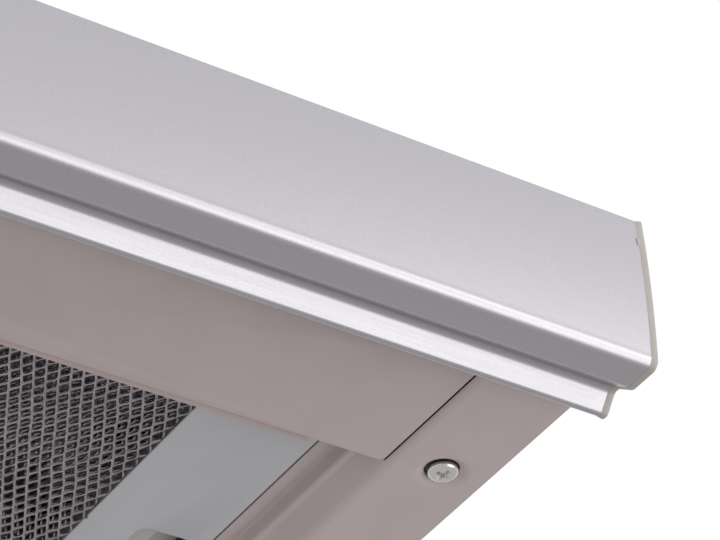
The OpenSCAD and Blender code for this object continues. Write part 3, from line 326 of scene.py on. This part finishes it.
def filter_sheet():
    """Rolled aluminium sheet of the filter frame: satin, faintly blue grey, its rolling marks along Y."""
    material, tree, shader, place = new_material("rolled_aluminium_sheet", "#b4b4b8", 0.44, 0.35)
    vary_colour(tree, shader, noise(tree, place, 18.0, 3.0, (1, 0.3, 1)), "#b2b2b6", "#b7b7bc")
    bump(tree, shader, noise(tree, place, 0.5, 2.0, (1, 0.1, 1)), 0.004)
    return material


def mesh_foil():
    """Expanded aluminium foil: bright strands whose tilt makes them glint or go dark."""
    material, tree, shader, place = new_material("expanded_aluminium_foil", "#979194", 0.25, 0.85)
    vary_colour(tree, shader, noise(tree, place, 5.0, 3.0), "#8c858a", "#a69fa4")
    return material


def frosted_lens():
    """Frosted polycarbonate lens: milky and slightly see-through."""
    material, tree, shader, place = new_material(
        "frosted_polycarbonate", "#efece4", 0.35, Transmission_Weight=0.35, IOR=1.58)
    bump(tree, shader, noise(tree, place, 0.8, 2.0), 0.03)
    return material


MATERIALS = {
    "greige_paint": powder_coat("satin_powder_coat", "#a89d9d", "#aca1a1"),
    "greige_plastic": moulded_plastic("moulded_greige_abs", "#a09a96", "#a49e9a"),
    "strip_aluminium": anodised_aluminium(),
    "galvanised_steel": galvanised_sheet(),
    "runner_zinc": plain_steel("zinc_plated_runner", "#a7a8aa", "#b9babc", 0.36, (1, 0.02, 1)),
    "screw_zinc": plain_steel("zinc_plated_screw", "#cfcdcd", "#e6e4e4", 0.22),
    "filter_sheet": filter_sheet(),
    "filter_mesh": mesh_foil(),
    "latch_dark": moulded_plastic("moulded_dark_nylon", "#3a3536", "#403b3c"),
    "latch_grey": moulded_plastic("moulded_grey_nylon", "#9f9d9f", "#a5a3a5"),
    "spring_steel": plain_steel("spring_strip", "#7f8083", "#8f9093", 0.3),
    "scroll_plastic": moulded_plastic("moulded_scroll_polypropylene", "#343538", "#3a3b3e"),
    "wheel_plastic": moulded_plastic("moulded_wheel_polyamide", "#46474a", "#4c4d50"),
    "turned_steel": plain_steel("turned_bar", "#a9a9ab", "#bcbcbe", 0.25),
    "motor_steel": plain_steel("motor_can_steel", "#77787c", "#85868a", 0.4),
    "collar_plastic": moulded_plastic("moulded_black_polypropylene", "#2b2c2f", "#313236", 0.48),
    "box_plastic": moulded_plastic("moulded_black_abs", "#28292c", "#2e2f32", 0.45),
    "pale_plastic": moulded_plastic("moulded_pale_nylon", "#d2cfc8", "#d8d5ce"),
    "plunger_plastic": moulded_plastic("moulded_red_acetal", "#9b3229", "#a5382e", 0.3),
    "lamp_white": moulded_plastic("moulded_lamp_polycarbonate", "#c9c6c2", "#cfccc8"),
    "lens_clear": frosted_lens(),
    "bezel_plastic": moulded_plastic("moulded_bezel_abs", "#5b5758", "#615d5e"),
    "knob_plastic": moulded_plastic("moulded_knob_abs", "#3d3b3c", "#434142"),
}

# Paint of the greige pieces that differ from the panel: the rail's is a shade darker and pinker than the
# panel's

RAIL_PAINT = powder_coat("rail_powder_coat", "#a39393", "#a79797")
# The frame's paint is a lighter copy of the panel's: painted light for the shade the strip's lip casts on
# the flanges; the cross member shares it
FRAME_PAINT_LIGHTENED = powder_coat("frame_powder_coat_lightened", "#b0a4a4", "#b4a8a8")
PAINT_OF = {
    "panel_rail_soft": RAIL_PAINT, "side_flange_left_sheet": FRAME_PAINT_LIGHTENED,
    "side_flange_right_sheet": FRAME_PAINT_LIGHTENED, "rear_cross_member": FRAME_PAINT_LIGHTENED,
}

# Mesh helpers


def finish_piece(piece, body, slot, nodes=(), smooth_deg=35):
    """Gives a new mesh its material, smoothing and body, and hides the nodes that it stands for."""
    piece.data.materials.clear()
    piece.data.materials.append(MATERIALS[slot])
    if smooth_deg:
        piece.data.shade_smooth()
        piece.data.set_sharp_from_angle(angle=math.radians(smooth_deg))
    if nodes:
        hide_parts(*nodes)
    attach(piece, body)


def new_object(name, mesh):
    piece = bpy.data.objects.new(name, mesh)
    bpy.context.scene.collection.objects.link(piece)
    return piece


def mesh_from_bmesh(name, bm):
    """A closed shape as an object, with its faces turned outwards."""
    bmesh.ops.recalc_face_normals(bm, faces=bm.faces)
    mesh = bpy.data.meshes.new(name)
    bm.to_mesh(mesh)
    bm.free()
    return new_object(name, mesh)


def bake_modifiers(piece):
    """Replaces a piece's mesh by its evaluated one, without the modifiers."""
    evaluated = piece.evaluated_get(bpy.context.evaluated_depsgraph_get())
    mesh = bpy.data.meshes.new_from_object(evaluated)
    piece.modifiers.clear()
    piece.data = mesh


def add_ring(bm, points):
    """Vertices at these points, given in millimetres."""
    return [bm.verts.new(Vector(p) * MM) for p in points]


def skin(bm, rings, capped=True):
    """Faces from each ring of vertices to the next, and over both ends; a ring of one vertex is a tip."""
    for a, b in zip(rings, rings[1:]):
        count = max(len(a), len(b))
        for i in range(count):
            j = (i + 1) % count
            corners = (a[i % len(a)], a[j % len(a)], b[j % len(b)], b[i % len(b)])
            bm.faces.new(list(dict.fromkeys(corners)))
    if capped:
        bm.faces.new(rings[0])
        bm.faces.new(rings[-1])


def extrusion(name, outline, low, high, axis="X"):
    """A closed profile in millimetres, (y, z) along X or (x, z) along Y, as a solid."""
    bm = bmesh.new()
    rings = []
    for at in (low, high):
        rings.append(add_ring(bm, [(at, a, b) if axis == "X" else (a, at, b) for a, b in outline]))
    skin(bm, rings)
    return mesh_from_bmesh(name, bm)


def turned(name, profile):
    """A profile of (radius, z) turned round Z, as a solid; it starts and ends on the axis."""
    bm = bmesh.new()
    steps = 40
    angles = [2 * math.pi * i / steps for i in range(steps)]
    rings = []
    for radius, z in profile:
        points = [(radius * math.cos(a), radius * math.sin(a), z) for a in angles]
        rings.append(add_ring(bm, points if radius else [(0, 0, z)]))
    skin(bm, rings, capped=False)
    return mesh_from_bmesh(name, bm)


def corner_arc(a, b, c, radius, steps):
    """Points of an arc that rounds corner b between a and c."""
    u, v = (a - b).normalized(), (c - b).normalized()
    half = math.acos(max(-1, min(1, u.dot(v)))) / 2
    centre = b + (u + v).normalized() * radius / math.sin(half)
    p, q = b + u * radius / math.tan(half) - centre, b + v * radius / math.tan(half) - centre
    start = math.atan2(p.y, p.x)
    turn = math.atan2(p.x * q.y - p.y * q.x, p.dot(q))
    return [
        centre + radius * Vector((math.cos(start + turn * i / steps), math.sin(start + turn * i / steps)))
        for i in range(steps + 1)
    ]


def rounded(path, radii, steps=8):
    """A path with its corners rounded, each by its own radius."""
    points = [Vector(p) for p in path]
    made = []
    for i, point in enumerate(points):
        if radii[i]:
            made += corner_arc(points[i - 1], point, points[(i + 1) % len(points)], radii[i], steps)
        else:
            made.append(point)
    return made


def grown(points, amount):
    """A closed outline moved outwards by amount; it runs round with its inside on the left."""
    made = []
    count = len(points)
    for i, (y, z) in enumerate(points):
        back = Vector((y - points[i - 1][0], z - points[i - 1][1])).normalized()
        ahead = Vector((points[(i + 1) % count][0] - y, points[(i + 1) % count][1] - z)).normalized()
        out = Vector((back.y + ahead.y, -back.x - ahead.x))
        out /= max(0.5, out.length_squared / 2)
        made.append((y + out.x * amount, z + out.y * amount))
    return made


def soften(node, edge_mm):
    """Draws a node again with its loose triangles merged and its sharp edges rounded."""
    source = NODES[node]
    bm = bmesh.new()
    bm.from_mesh(source.data)
    bmesh.ops.remove_doubles(bm, verts=bm.verts, dist=0.002 * MM)
    bmesh.ops.dissolve_limit(bm, angle_limit=math.radians(0.5), verts=bm.verts, edges=bm.edges)
    mesh = bpy.data.meshes.new(node + "_soft")
    bm.to_mesh(mesh)
    bm.free()
    piece = new_object(node + "_soft", mesh)
    bevel = piece.modifiers.new("edges", "BEVEL")
    bevel.width = edge_mm * MM
    bevel.segments = 2
    bevel.limit_method = "ANGLE"
    bevel.angle_limit = math.radians(30)
    bevel.harden_normals = True
    piece.data.shade_smooth()
    bake_modifiers(piece)
    finish_piece(piece, source["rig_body"], SLOT_OF[node], [node], smooth_deg=0)


def repeated(name, tile, places, slot, spin=0.0, weld_mm=0.0, wave_mm=(0, 0, 0), wave_size_mm=20.0, seed=1):
    """Copies of a tile at these places by Geometry Nodes, welded and gently waved, as one plain mesh."""
    mesh = bpy.data.meshes.new(name)
    mesh.from_pydata([tuple(Vector(p) * MM) for p in places], [], [])
    piece = new_object(name, mesh)
    tree = bpy.data.node_groups.new(name + "_nodes", "GeometryNodeTree")
    tree.interface.new_socket("Places", in_out="INPUT", socket_type="NodeSocketGeometry")
    sockets = {}
    for label, kind in (("Tile", "Object"), ("Spin", "Vector"), ("Weld", "Float"), ("Wave", "Vector"),
                        ("Seed", "Int")):
        sockets[label] = tree.interface.new_socket(
            label, in_out="INPUT", socket_type="NodeSocket" + kind).identifier
    tree.interface.new_socket("Copies", in_out="OUTPUT", socket_type="NodeSocketGeometry")
    given = tree.nodes.new("NodeGroupInput").outputs
    made = tree.nodes.new("NodeGroupOutput")
    shape = add(tree, "GeometryNodeObjectInfo", Object=given["Tile"]).outputs["Geometry"]
    back = add(tree, "ShaderNodeVectorMath", {"operation": "SCALE"}, _0=given["Spin"], Scale=-1.0).outputs[0]
    turn = add(tree, "FunctionNodeRandomValue", {"data_type": "FLOAT_VECTOR"},
               _0=back, _1=given["Spin"], Seed=given["Seed"]).outputs[0]
    copies = add(tree, "GeometryNodeInstanceOnPoints", Points=given["Places"], Instance=shape,
                 Rotation=turn).outputs[0]
    plain = add(tree, "GeometryNodeRealizeInstances", Geometry=copies).outputs[0]
    welded = add(tree, "GeometryNodeMergeByDistance", Geometry=plain, Distance=given["Weld"]).outputs[0]
    spot = add(tree, "GeometryNodeInputPosition").outputs[0]
    swell = add(tree, "ShaderNodeTexNoise", Vector=spot, Scale=1 / (wave_size_mm * MM), Detail=1.0)
    middle = add(tree, "ShaderNodeVectorMath", {"operation": "SUBTRACT"},
                 _0=swell.outputs["Color"], _1=(0.5, 0.5, 0.5))
    moved = add(tree, "ShaderNodeVectorMath", {"operation": "MULTIPLY"},
                _0=middle.outputs[0], _1=given["Wave"])
    waved = add(tree, "GeometryNodeSetPosition", Geometry=welded, Offset=moved.outputs[0]).outputs[0]
    painted = add(tree, "GeometryNodeSetMaterial", Geometry=waved, Material=MATERIALS[slot])
    tree.links.new(painted.outputs[0], made.inputs[0])
    modifier = piece.modifiers.new("copies", "NODES")
    modifier.node_group = tree
    modifier[sockets["Tile"]] = tile
    modifier[sockets["Spin"]] = (0.0, 0.0, spin)
    modifier[sockets["Weld"]] = weld_mm * MM
    modifier[sockets["Wave"]] = tuple(Vector(wave_mm) * MM)
    modifier[sockets["Seed"]] = seed
    bake_modifiers(piece)
    bpy.data.node_groups.remove(tree)
    bpy.data.objects.remove(tile)
    return piece


# Handle strip and its end caps


def strip_outline():
    """Outline (y, z) of the handle strip, from the top of its bulged face down and round to the back."""
    arc_r = (BULGE_Z ** 2 + STRIP_BULGE ** 2) / (2 * STRIP_BULGE)

    def face_y(z):
        return arc_r - math.sqrt(arc_r ** 2 - (z - BULGE_Z) ** 2)

    steps = 40
    face = [
        Vector((face_y(z), z))
        for z in (STRIP_H + (STRIP_EDGE_R - STRIP_H) * i / steps for i in range(steps))
    ]
    foot_y = STRIP_BULGE + FOOT_W
    lip_back_y = STRIP_DEEP - LIP_LEAN
    lip_foot_y = lip_back_y - LIP_W
    cove_y = lip_foot_y - LIP_SLOPE_W
    low = rounded(
        [
            (face_y(STRIP_EDGE_R), STRIP_EDGE_R), (face_y(STRIP_EDGE_R), 0), (foot_y, 0),
            (foot_y + FOOT_SLOPE_W, COVE_H), (cove_y, COVE_H), (lip_foot_y, -LIP_DROP),
            (lip_back_y, -LIP_DROP), (STRIP_DEEP, LIP_STRAIGHT_Z), (STRIP_DEEP, STRIP_H),
        ],
        [0, STRIP_CORNER_R, FOOT_R, FOOT_R, FOOT_R, LIP_EDGE_R, LIP_EDGE_R, 0, 0])
    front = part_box("front_strip")[0].y / MM
    return [(p.x + front, p.y - STRIP_DROP) for p in face + low]


def make_strip():
    low, high = (c.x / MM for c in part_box("front_strip"))
    strip = extrusion("handle_strip", strip_outline(), low, high)
    finish_piece(strip, "tray", "strip_aluminium", ["front_strip"])


def make_end_cap(side):
    """Moulded cap: a thin plate proud of the strip, its rim rolled over, with a small tab by the face."""
    node = "end_cap_right" if side > 0 else "end_cap_left"
    low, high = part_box(node)
    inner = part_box("front_strip")[1].x / MM
    outer = (high.x if side > 0 else -low.x) / MM
    outline = strip_outline()
    layers = [(inner, CAP_SEAT_PROUD), (inner + CAP_SKIRT_W, CAP_SKIRT_PROUD)]
    steps = 5
    for angle in (math.radians(90 * i / steps) for i in range(steps + 1)):
        layers.append((
            outer - CAP_EDGE_R + CAP_EDGE_R * math.sin(angle),
            CAP_PROUD - CAP_EDGE_R + CAP_EDGE_R * math.cos(angle),
        ))
    bm = bmesh.new()
    skin(bm, [add_ring(bm, [(side * x, y, z) for y, z in grown(outline, proud)]) for x, proud in layers])
    finish_piece(mesh_from_bmesh(node + "_moulding", bm), "tray", "greige_plastic", [node])
    bm = bmesh.new()
    rings = []
    for scale, depth in TAB_RINGS:
        rings.append(add_ring(bm, [
            (side * (inner + x * scale), TAB_Y + depth, TAB_Z + z * scale) for x, z in TAB_OUTLINE
        ]))
    skin(bm, rings)
    finish_piece(mesh_from_bmesh(node + "_tab", bm), "tray", "greige_plastic")


# Side flanges and their screws


def dimple_steps():
    """Distances of the sheet's lines from a screw, across the square that its dimple takes up."""
    return [DIMPLE_HALF_W * (2 * i / DIMPLE_STEPS - 1) for i in range(DIMPLE_STEPS + 1)]


def flange_section():
    """Section (x, z) of the side flange, with points at the slit's sides and at each dimple step."""
    ledge_x = STEP_IN + LEDGE_W
    ridge_x = ledge_x + SHEET_T
    path = rounded(
        [
            (STEP_IN, STEP_RISE), (ledge_x, STEP_RISE), (ridge_x, RIDGE_Z), (ridge_x + RIDGE_W, RIDGE_Z),
            (SHOULDER_X, 0), (SHOULDER_X + SHOULDER_FLAT_W, 0),
        ],
        [0, LEDGE_R, RIDGE_IN_R, RIDGE_OUT_R, SHOULDER_R, 0])
    section = [(p.x, p.y) for p in path]
    for x in SLIT_X:
        at = next(i for i, point in enumerate(section) if point[0] > x)
        (x0, z0), (x1, z1) = section[at - 1], section[at]
        section.insert(at, (x, z0 + (z1 - z0) * (x - x0) / (x1 - x0)))
    return section + [(SCREW_X + step, 0) for step in dimple_steps()] + [(FRAME_X, 0)]


def flange_side(bm, section, rows, side, lift):
    """One side of the flange's sheet, as rows of vertices lifted off the section."""
    sheet = []
    for y in rows:
        line = []
        for i, (x, z) in enumerate(section):
            a, b = section[max(0, i - 1)], section[min(len(section) - 1, i + 1)]
            along = Vector((b[0] - a[0], b[1] - a[1])).normalized()
            line.append((side * (x - along.y * lift), y, z + along.x * lift))
        sheet.append(add_ring(bm, line))
    return sheet


def press_dimple(bm, sheet_loop, centre, side, lift):
    """Rings from a square of sheet points in to the screw's hole; returns the hole's edge."""
    loops = [sheet_loop]
    for radius, depth in DIMPLE_RINGS:
        share = max(0.0, 1 - (radius - HOLE_SHIFT_R) / HOLE_SHIFT_FADE_W)
        ring = []
        for point in sheet_loop:
            angle = math.atan2(point.co.y / MM - centre[1], side * point.co.x / MM - centre[0])
            x = centre[0] + HOLE_SHIFT[0] * share + radius * math.cos(angle)
            y = centre[1] + HOLE_SHIFT[1] * share + radius * math.sin(angle)
            ring.append((side * x, y, depth + lift))
        loops.append(add_ring(bm, ring))
    skin(bm, loops, capped=False)
    return loops[-1]


def make_side_flange(side):
    """Pressed flange with its stepped channel, as one smooth sheet with a slit and soft dimples."""
    node = "side_flange_right" if side > 0 else "side_flange_left"
    front, back = (c.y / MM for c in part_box(node))
    section = flange_section()
    rows = [front, SLIT_END_Y, back] + [at + step for at in SCREW_Y for step in dimple_steps()]
    rows = sorted(y for y in rows if front <= y <= back)
    bm = bmesh.new()
    lifts = (0.0, SHEET_T)
    sheets = [flange_side(bm, section, rows, side, lift) for lift in lifts]

    def patch(i, j):
        """What lies between section points i and i + 1 and rows j and j + 1."""
        if not (0 <= i < len(section) - 1 and 0 <= j < len(rows) - 1):
            return "open"
        x, y = (section[i][0] + section[i + 1][0]) / 2, (rows[j] + rows[j + 1]) / 2
        if SLIT_X[0] < x < SLIT_X[1] and y < SLIT_END_Y:
            return "open"
        if abs(x - SCREW_X) < DIMPLE_HALF_W and min(abs(y - at) for at in SCREW_Y) < DIMPLE_HALF_W:
            return "dimple"
        return "sheet"

    for j in range(len(rows) - 1):
        for i in range(len(section) - 1):
            if patch(i, j) != "sheet":
                continue
            corners = ((j, i), (j, i + 1), (j + 1, i + 1), (j + 1, i))
            for sheet in sheets:
                bm.faces.new([sheet[a][b] for a, b in corners])
            for k, (di, dj) in enumerate(((0, -1), (1, 0), (0, 1), (-1, 0))):
                if patch(i + di, j + dj) == "open":
                    (a, b), (c, d) = corners[k], corners[(k + 1) % 4]
                    bm.faces.new((sheets[0][a][b], sheets[0][c][d], sheets[1][c][d], sheets[1][a][b]))
    last = len(section) - 2
    first = last - DIMPLE_STEPS
    for at in SCREW_Y:
        near = rows.index(at - DIMPLE_HALF_W)
        far = rows.index(at + DIMPLE_HALF_W)
        loop = [(near, i) for i in range(first, last)] + [(j, last) for j in range(near, far)]
        loop += [(far, i) for i in range(last, first, -1)] + [(j, first) for j in range(far, near, -1)]
        hole_edges = [
            press_dimple(bm, [sheet[j][i] for j, i in loop], (SCREW_X, at), side, lift)
            for sheet, lift in zip(sheets, lifts)
        ]
        skin(bm, hole_edges, capped=False)
    finish_piece(mesh_from_bmesh(node + "_sheet", bm), "frame", "greige_paint", [node], smooth_deg=40)


def make_hole_shade_discs(side):
    """Dark discs behind the holes round the flange screws: painted shade, so that the gaps beside the screw
    heads look as dark as deep shadow.
    """
    for number, at in enumerate(SCREW_Y):
        shade_disc = turned("washer_%s_%d" % ("right" if side > 0 else "left", number), SHADE_DISC_PROFILE)
        shade_disc.data.transform(Matrix.Translation(Vector((side * SCREW_X, at, 0)) * MM))
        finish_piece(shade_disc, "frame", "latch_dark", smooth_deg=40)


def screw_tile(shank_len):
    """Pan head screw with a rounded rim and a tapered cross recess, head downwards from z 0."""
    r, h = SCREW_HEAD_DRAWN_R, SCREW_HEAD_H
    rim_r, rim_h = 0.3 * r, 0.56 * h
    profile = [(0, -h), (r * 0.5, -h * 0.99)]
    for angle in (math.radians(a) for a in (0, 12, 24, 36, 48, 60, 75, 90)):
        profile.append((r - rim_r + rim_r * math.sin(angle), -0.4 * h - rim_h * math.cos(angle)))
    profile += [
        (r, -0.15), (r * 0.96, 0), (SCREW_SHANK_R, 0), (SCREW_SHANK_R, shank_len), (0, shank_len),
    ]
    screw = turned("screw_tile", profile)
    bm = bmesh.new()
    for angle in (0, 90):
        turn = Matrix.Rotation(math.radians(angle), 4, "Z")
        ends = []
        for z, half_long, half_wide in ((-h - 0.4, 0.66 * r, 0.17 * r), (-h * 0.35, 0.2 * r, 0.1 * r)):
            corners = ((-1, -1), (1, -1), (1, 1), (-1, 1))
            ends.append(add_ring(bm, [turn @ Vector((x * half_long, y * half_wide, z)) for x, y in corners]))
        skin(bm, ends)
    cutter = mesh_from_bmesh("cross", bm)
    cut = screw.modifiers.new("cross", "BOOLEAN")
    cut.operation = "DIFFERENCE"
    cut.object = cutter
    cut.use_self = True
    bake_modifiers(screw)
    bpy.data.objects.remove(cutter)
    return screw


def make_flange_screws():
    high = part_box("flange_screws")[1]
    places = [(side * SCREW_X, y, DIMPLE_D) for side in (-1, 1) for y in SCREW_Y]
    places += [(share * REAR_SCREW_X, high.y / MM - SCREW_HEAD_R, DIMPLE_D) for share in (-1, 0, 1)]
    tile = screw_tile(high.z / MM - DIMPLE_D)
    spin = math.radians(SCREW_SPIN_DEG)
    piece = repeated("flange_screw_set", tile, places, "screw_zinc", spin=spin, seed=5)
    finish_piece(piece, "frame", "screw_zinc", ["flange_screws"], smooth_deg=32)


# Filters


def leaf(belly):
    """Eight points round a diamond of half width and half length 1, whose sides bulge to belly."""
    x, y = belly
    return [(1, 0), (x, y), (0, 1), (-x, y), (-1, 0), (-x, -y), (0, -1), (x, -y)]


def mesh_tile(cell, eye, tilt_mm, thick_mm, lobe_side=0):
    """One cell of expanded foil: a leaf-shaped eye in a diamond, its strands twisted one way.

    A cell on the sheet's edge has a rounded lobe on that side.
    """
    half_x, half_y = cell[0] / 2, cell[1] / 2
    eye_x, eye_y = eye[0] / 2, eye[1] / 2
    outer, inner = leaf(CELL_BELLY), leaf(EYE_BELLY)
    if lobe_side:
        lobe = [(x if y else x * LOBE_TIP, y) for x, y in leaf(LOBE_BELLY)]
        outer = [soft if soft[0] * lobe_side > 0 else plain for plain, soft in zip(outer, lobe)]
    rings = (
        [(x * half_x, y * half_y, -STRAND_ROUND) for x, y in outer],
        [(x * eye_x, y * eye_y, -x * tilt_mm) for x, y in inner],
        [(x * eye_x, y * eye_y, -x * tilt_mm + thick_mm) for x, y in inner],
        [(x * half_x, y * half_y, thick_mm - STRAND_ROUND) for x, y in outer],
    )
    points = [tuple(Vector(p) * MM) for ring in rings for p in ring]
    count = len(outer)
    faces = []
    for start in range(0, 3 * count, count):
        for i in range(count):
            j = (i + 1) % count
            faces.append((start + i, start + count + i, start + count + j, start + j))
    mesh = bpy.data.meshes.new("mesh_tile")
    mesh.from_pydata(points, [], faces)
    return new_object("mesh_tile", mesh)


def foil_places(low_y, high_y, cell, z, shift, skew, side):
    """Places of a foil sheet's cells in staggered columns, and those of its edge column by the plate."""
    corner_x, corner_y = MESH_CORNER
    half_x, half_y = cell[0] / 2, cell[1] / 2
    places, edge_places = [], []
    for column in range(int((corner_x - MESH_IN_X) / half_x) + 1):
        for row in MESH_ROWS:
            if (column + row) % 2:
                continue
            x, y = corner_x + shift[0] - column * half_x, corner_y + shift[1] + row * half_y
            x, y = x + (y - corner_y) * skew, y - (x - corner_x) * skew
            if MESH_IN_X + half_x < x < corner_x + MESH_EDGE and low_y + half_y < y < high_y - half_y:
                (places if column else edge_places).append((side * x, y, z))
    return places, edge_places


def make_filter_mesh(side):
    """Three sheets of expanded foil, one behind the other, each laid a little differently."""
    node = "filter_mesh_right" if side > 0 else "filter_mesh_left"
    low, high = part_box(node)
    low_y, high_y = low.y / MM + MESH_MARGIN, high.y / MM - MESH_MARGIN
    for label, foil in FOIL_SHEETS.items():
        places, edge_places = foil_places(
            low_y, high_y, foil["cell"], foil["z"], foil["shift"], foil["skew"], side)
        for part, spots, lobe_side in (("", places, 0), ("_edge", edge_places, side)):
            tile = mesh_tile(foil["cell"], foil["eye"], side * foil["tilt"], foil["thick"], lobe_side)
            piece = repeated(
                node + "_" + label + part, tile, spots, "filter_mesh", weld_mm=MESH_WELD,
                wave_mm=MESH_WAVE, wave_size_mm=MESH_WAVE_SIZE)
            stands_for = [node] if label == "front" and not part else []
            finish_piece(piece, NODES[node]["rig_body"], "filter_mesh", stands_for, smooth_deg=75)


def make_plate_rim(side):
    """Rolled edge of the filter's plate beside the mesh, which catches a thin line of light."""
    node = "filter_frame_right" if side > 0 else "filter_frame_left"
    x, z = PLATE_IN - RIM_SINK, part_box(node)[0].z / MM + RIM_LIFT
    angles = [math.radians(a) for a in range(0, 360, 30)]
    outline = [(side * (x + RIM_HALF_W * math.cos(a)), z + RIM_HALF_H * math.sin(a)) for a in angles]
    for part, (start, stop) in RIM_RUNS.items():
        piece = extrusion(node + "_rim_" + part, outline, start, stop, "Y")
        finish_piece(piece, NODES[node]["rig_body"], "filter_sheet", smooth_deg=60)


# Camera, lamps and stage


def make_camera():
    """The photograph's viewing angle: below the front right corner, looking up through a long lens."""
    data = bpy.data.cameras.new("camera")
    camera = bpy.data.objects.new("camera", data)
    bpy.context.scene.collection.objects.link(camera)
    camera.matrix_world = (
        Matrix.Translation(Vector(CAMERA_PLACE) * MM)
        @ Matrix.Rotation(math.radians(-CAMERA_HEADING), 4, "Z")
        @ Matrix.Rotation(math.radians(90 + CAMERA_RISE), 4, "X")
        @ Matrix.Rotation(math.radians(CAMERA_ROLL), 4, "Z")
    )
    data.sensor_width = CAMERA_SENSOR_W
    data.lens = CAMERA_LENS
    data.clip_start, data.clip_end = 0.01, 50
    bpy.context.scene.camera = camera


def make_lamp(name, place, target, size, power):
    """A round soft lamp that faces its target."""
    data = bpy.data.lights.new(name, "AREA")
    data.shape = "DISK"
    data.size = size
    data.energy = power
    lamp = bpy.data.objects.new(name, data)
    bpy.context.scene.collection.objects.link(lamp)
    lamp.location = place
    lamp.rotation_mode = "QUATERNION"
    lamp.rotation_quaternion = (Vector(target) - Vector(place)).to_track_quat("-Z", "Y")


def make_stage():
    """Pale floor far below and an even white surround."""
    floor_material, tree, shader, place = new_material("studio_floor_paper", "#c0bfbd", 0.9)
    bump(tree, shader, noise(tree, place, 4.0, 2.0), 0.05)
    mesh = bpy.data.meshes.new("studio_floor")
    bm = bmesh.new()
    bmesh.ops.create_grid(bm, x_segments=1, y_segments=1, size=FLOOR_HALF_W)
    bm.to_mesh(mesh)
    bm.free()
    floor = new_object("studio_floor", mesh)
    floor.data.transform(Matrix.Translation((0, 0, FLOOR_Z)))
    floor.data.materials.append(floor_material)
    world = bpy.data.worlds.new("studio_surround")
    world.use_nodes = True
    bpy.context.scene.world = world
    background = world.node_tree.nodes["Background"]
    background.inputs["Color"].default_value = (1, 1, 1, 1)
    background.inputs["Strength"].default_value = 1.0


# Build

bpy.context.scene.view_settings.view_transform = "Standard"
make_camera()
make_stage()
for lamp_name, lamp in LAMPS.items():
    make_lamp(lamp_name, **lamp)

for node, piece in NODES.items():
    piece.data.materials.clear()
    piece.data.materials.append(MATERIALS[SLOT_OF[node]])
make_strip()
for side in (-1, 1):
    make_end_cap(side)
    make_side_flange(side)
    # Dark discs behind the flange's screw holes are painted shade
    make_hole_shade_discs(side)
    make_filter_mesh(side)
    make_plate_rim(side)
make_flange_screws()
for node, edge in EDGES.items():
    soften(node, edge)
for name, paint in PAINT_OF.items():
    piece = NODES.get(name) or bpy.data.objects[name]
    piece.data.materials[0] = paint
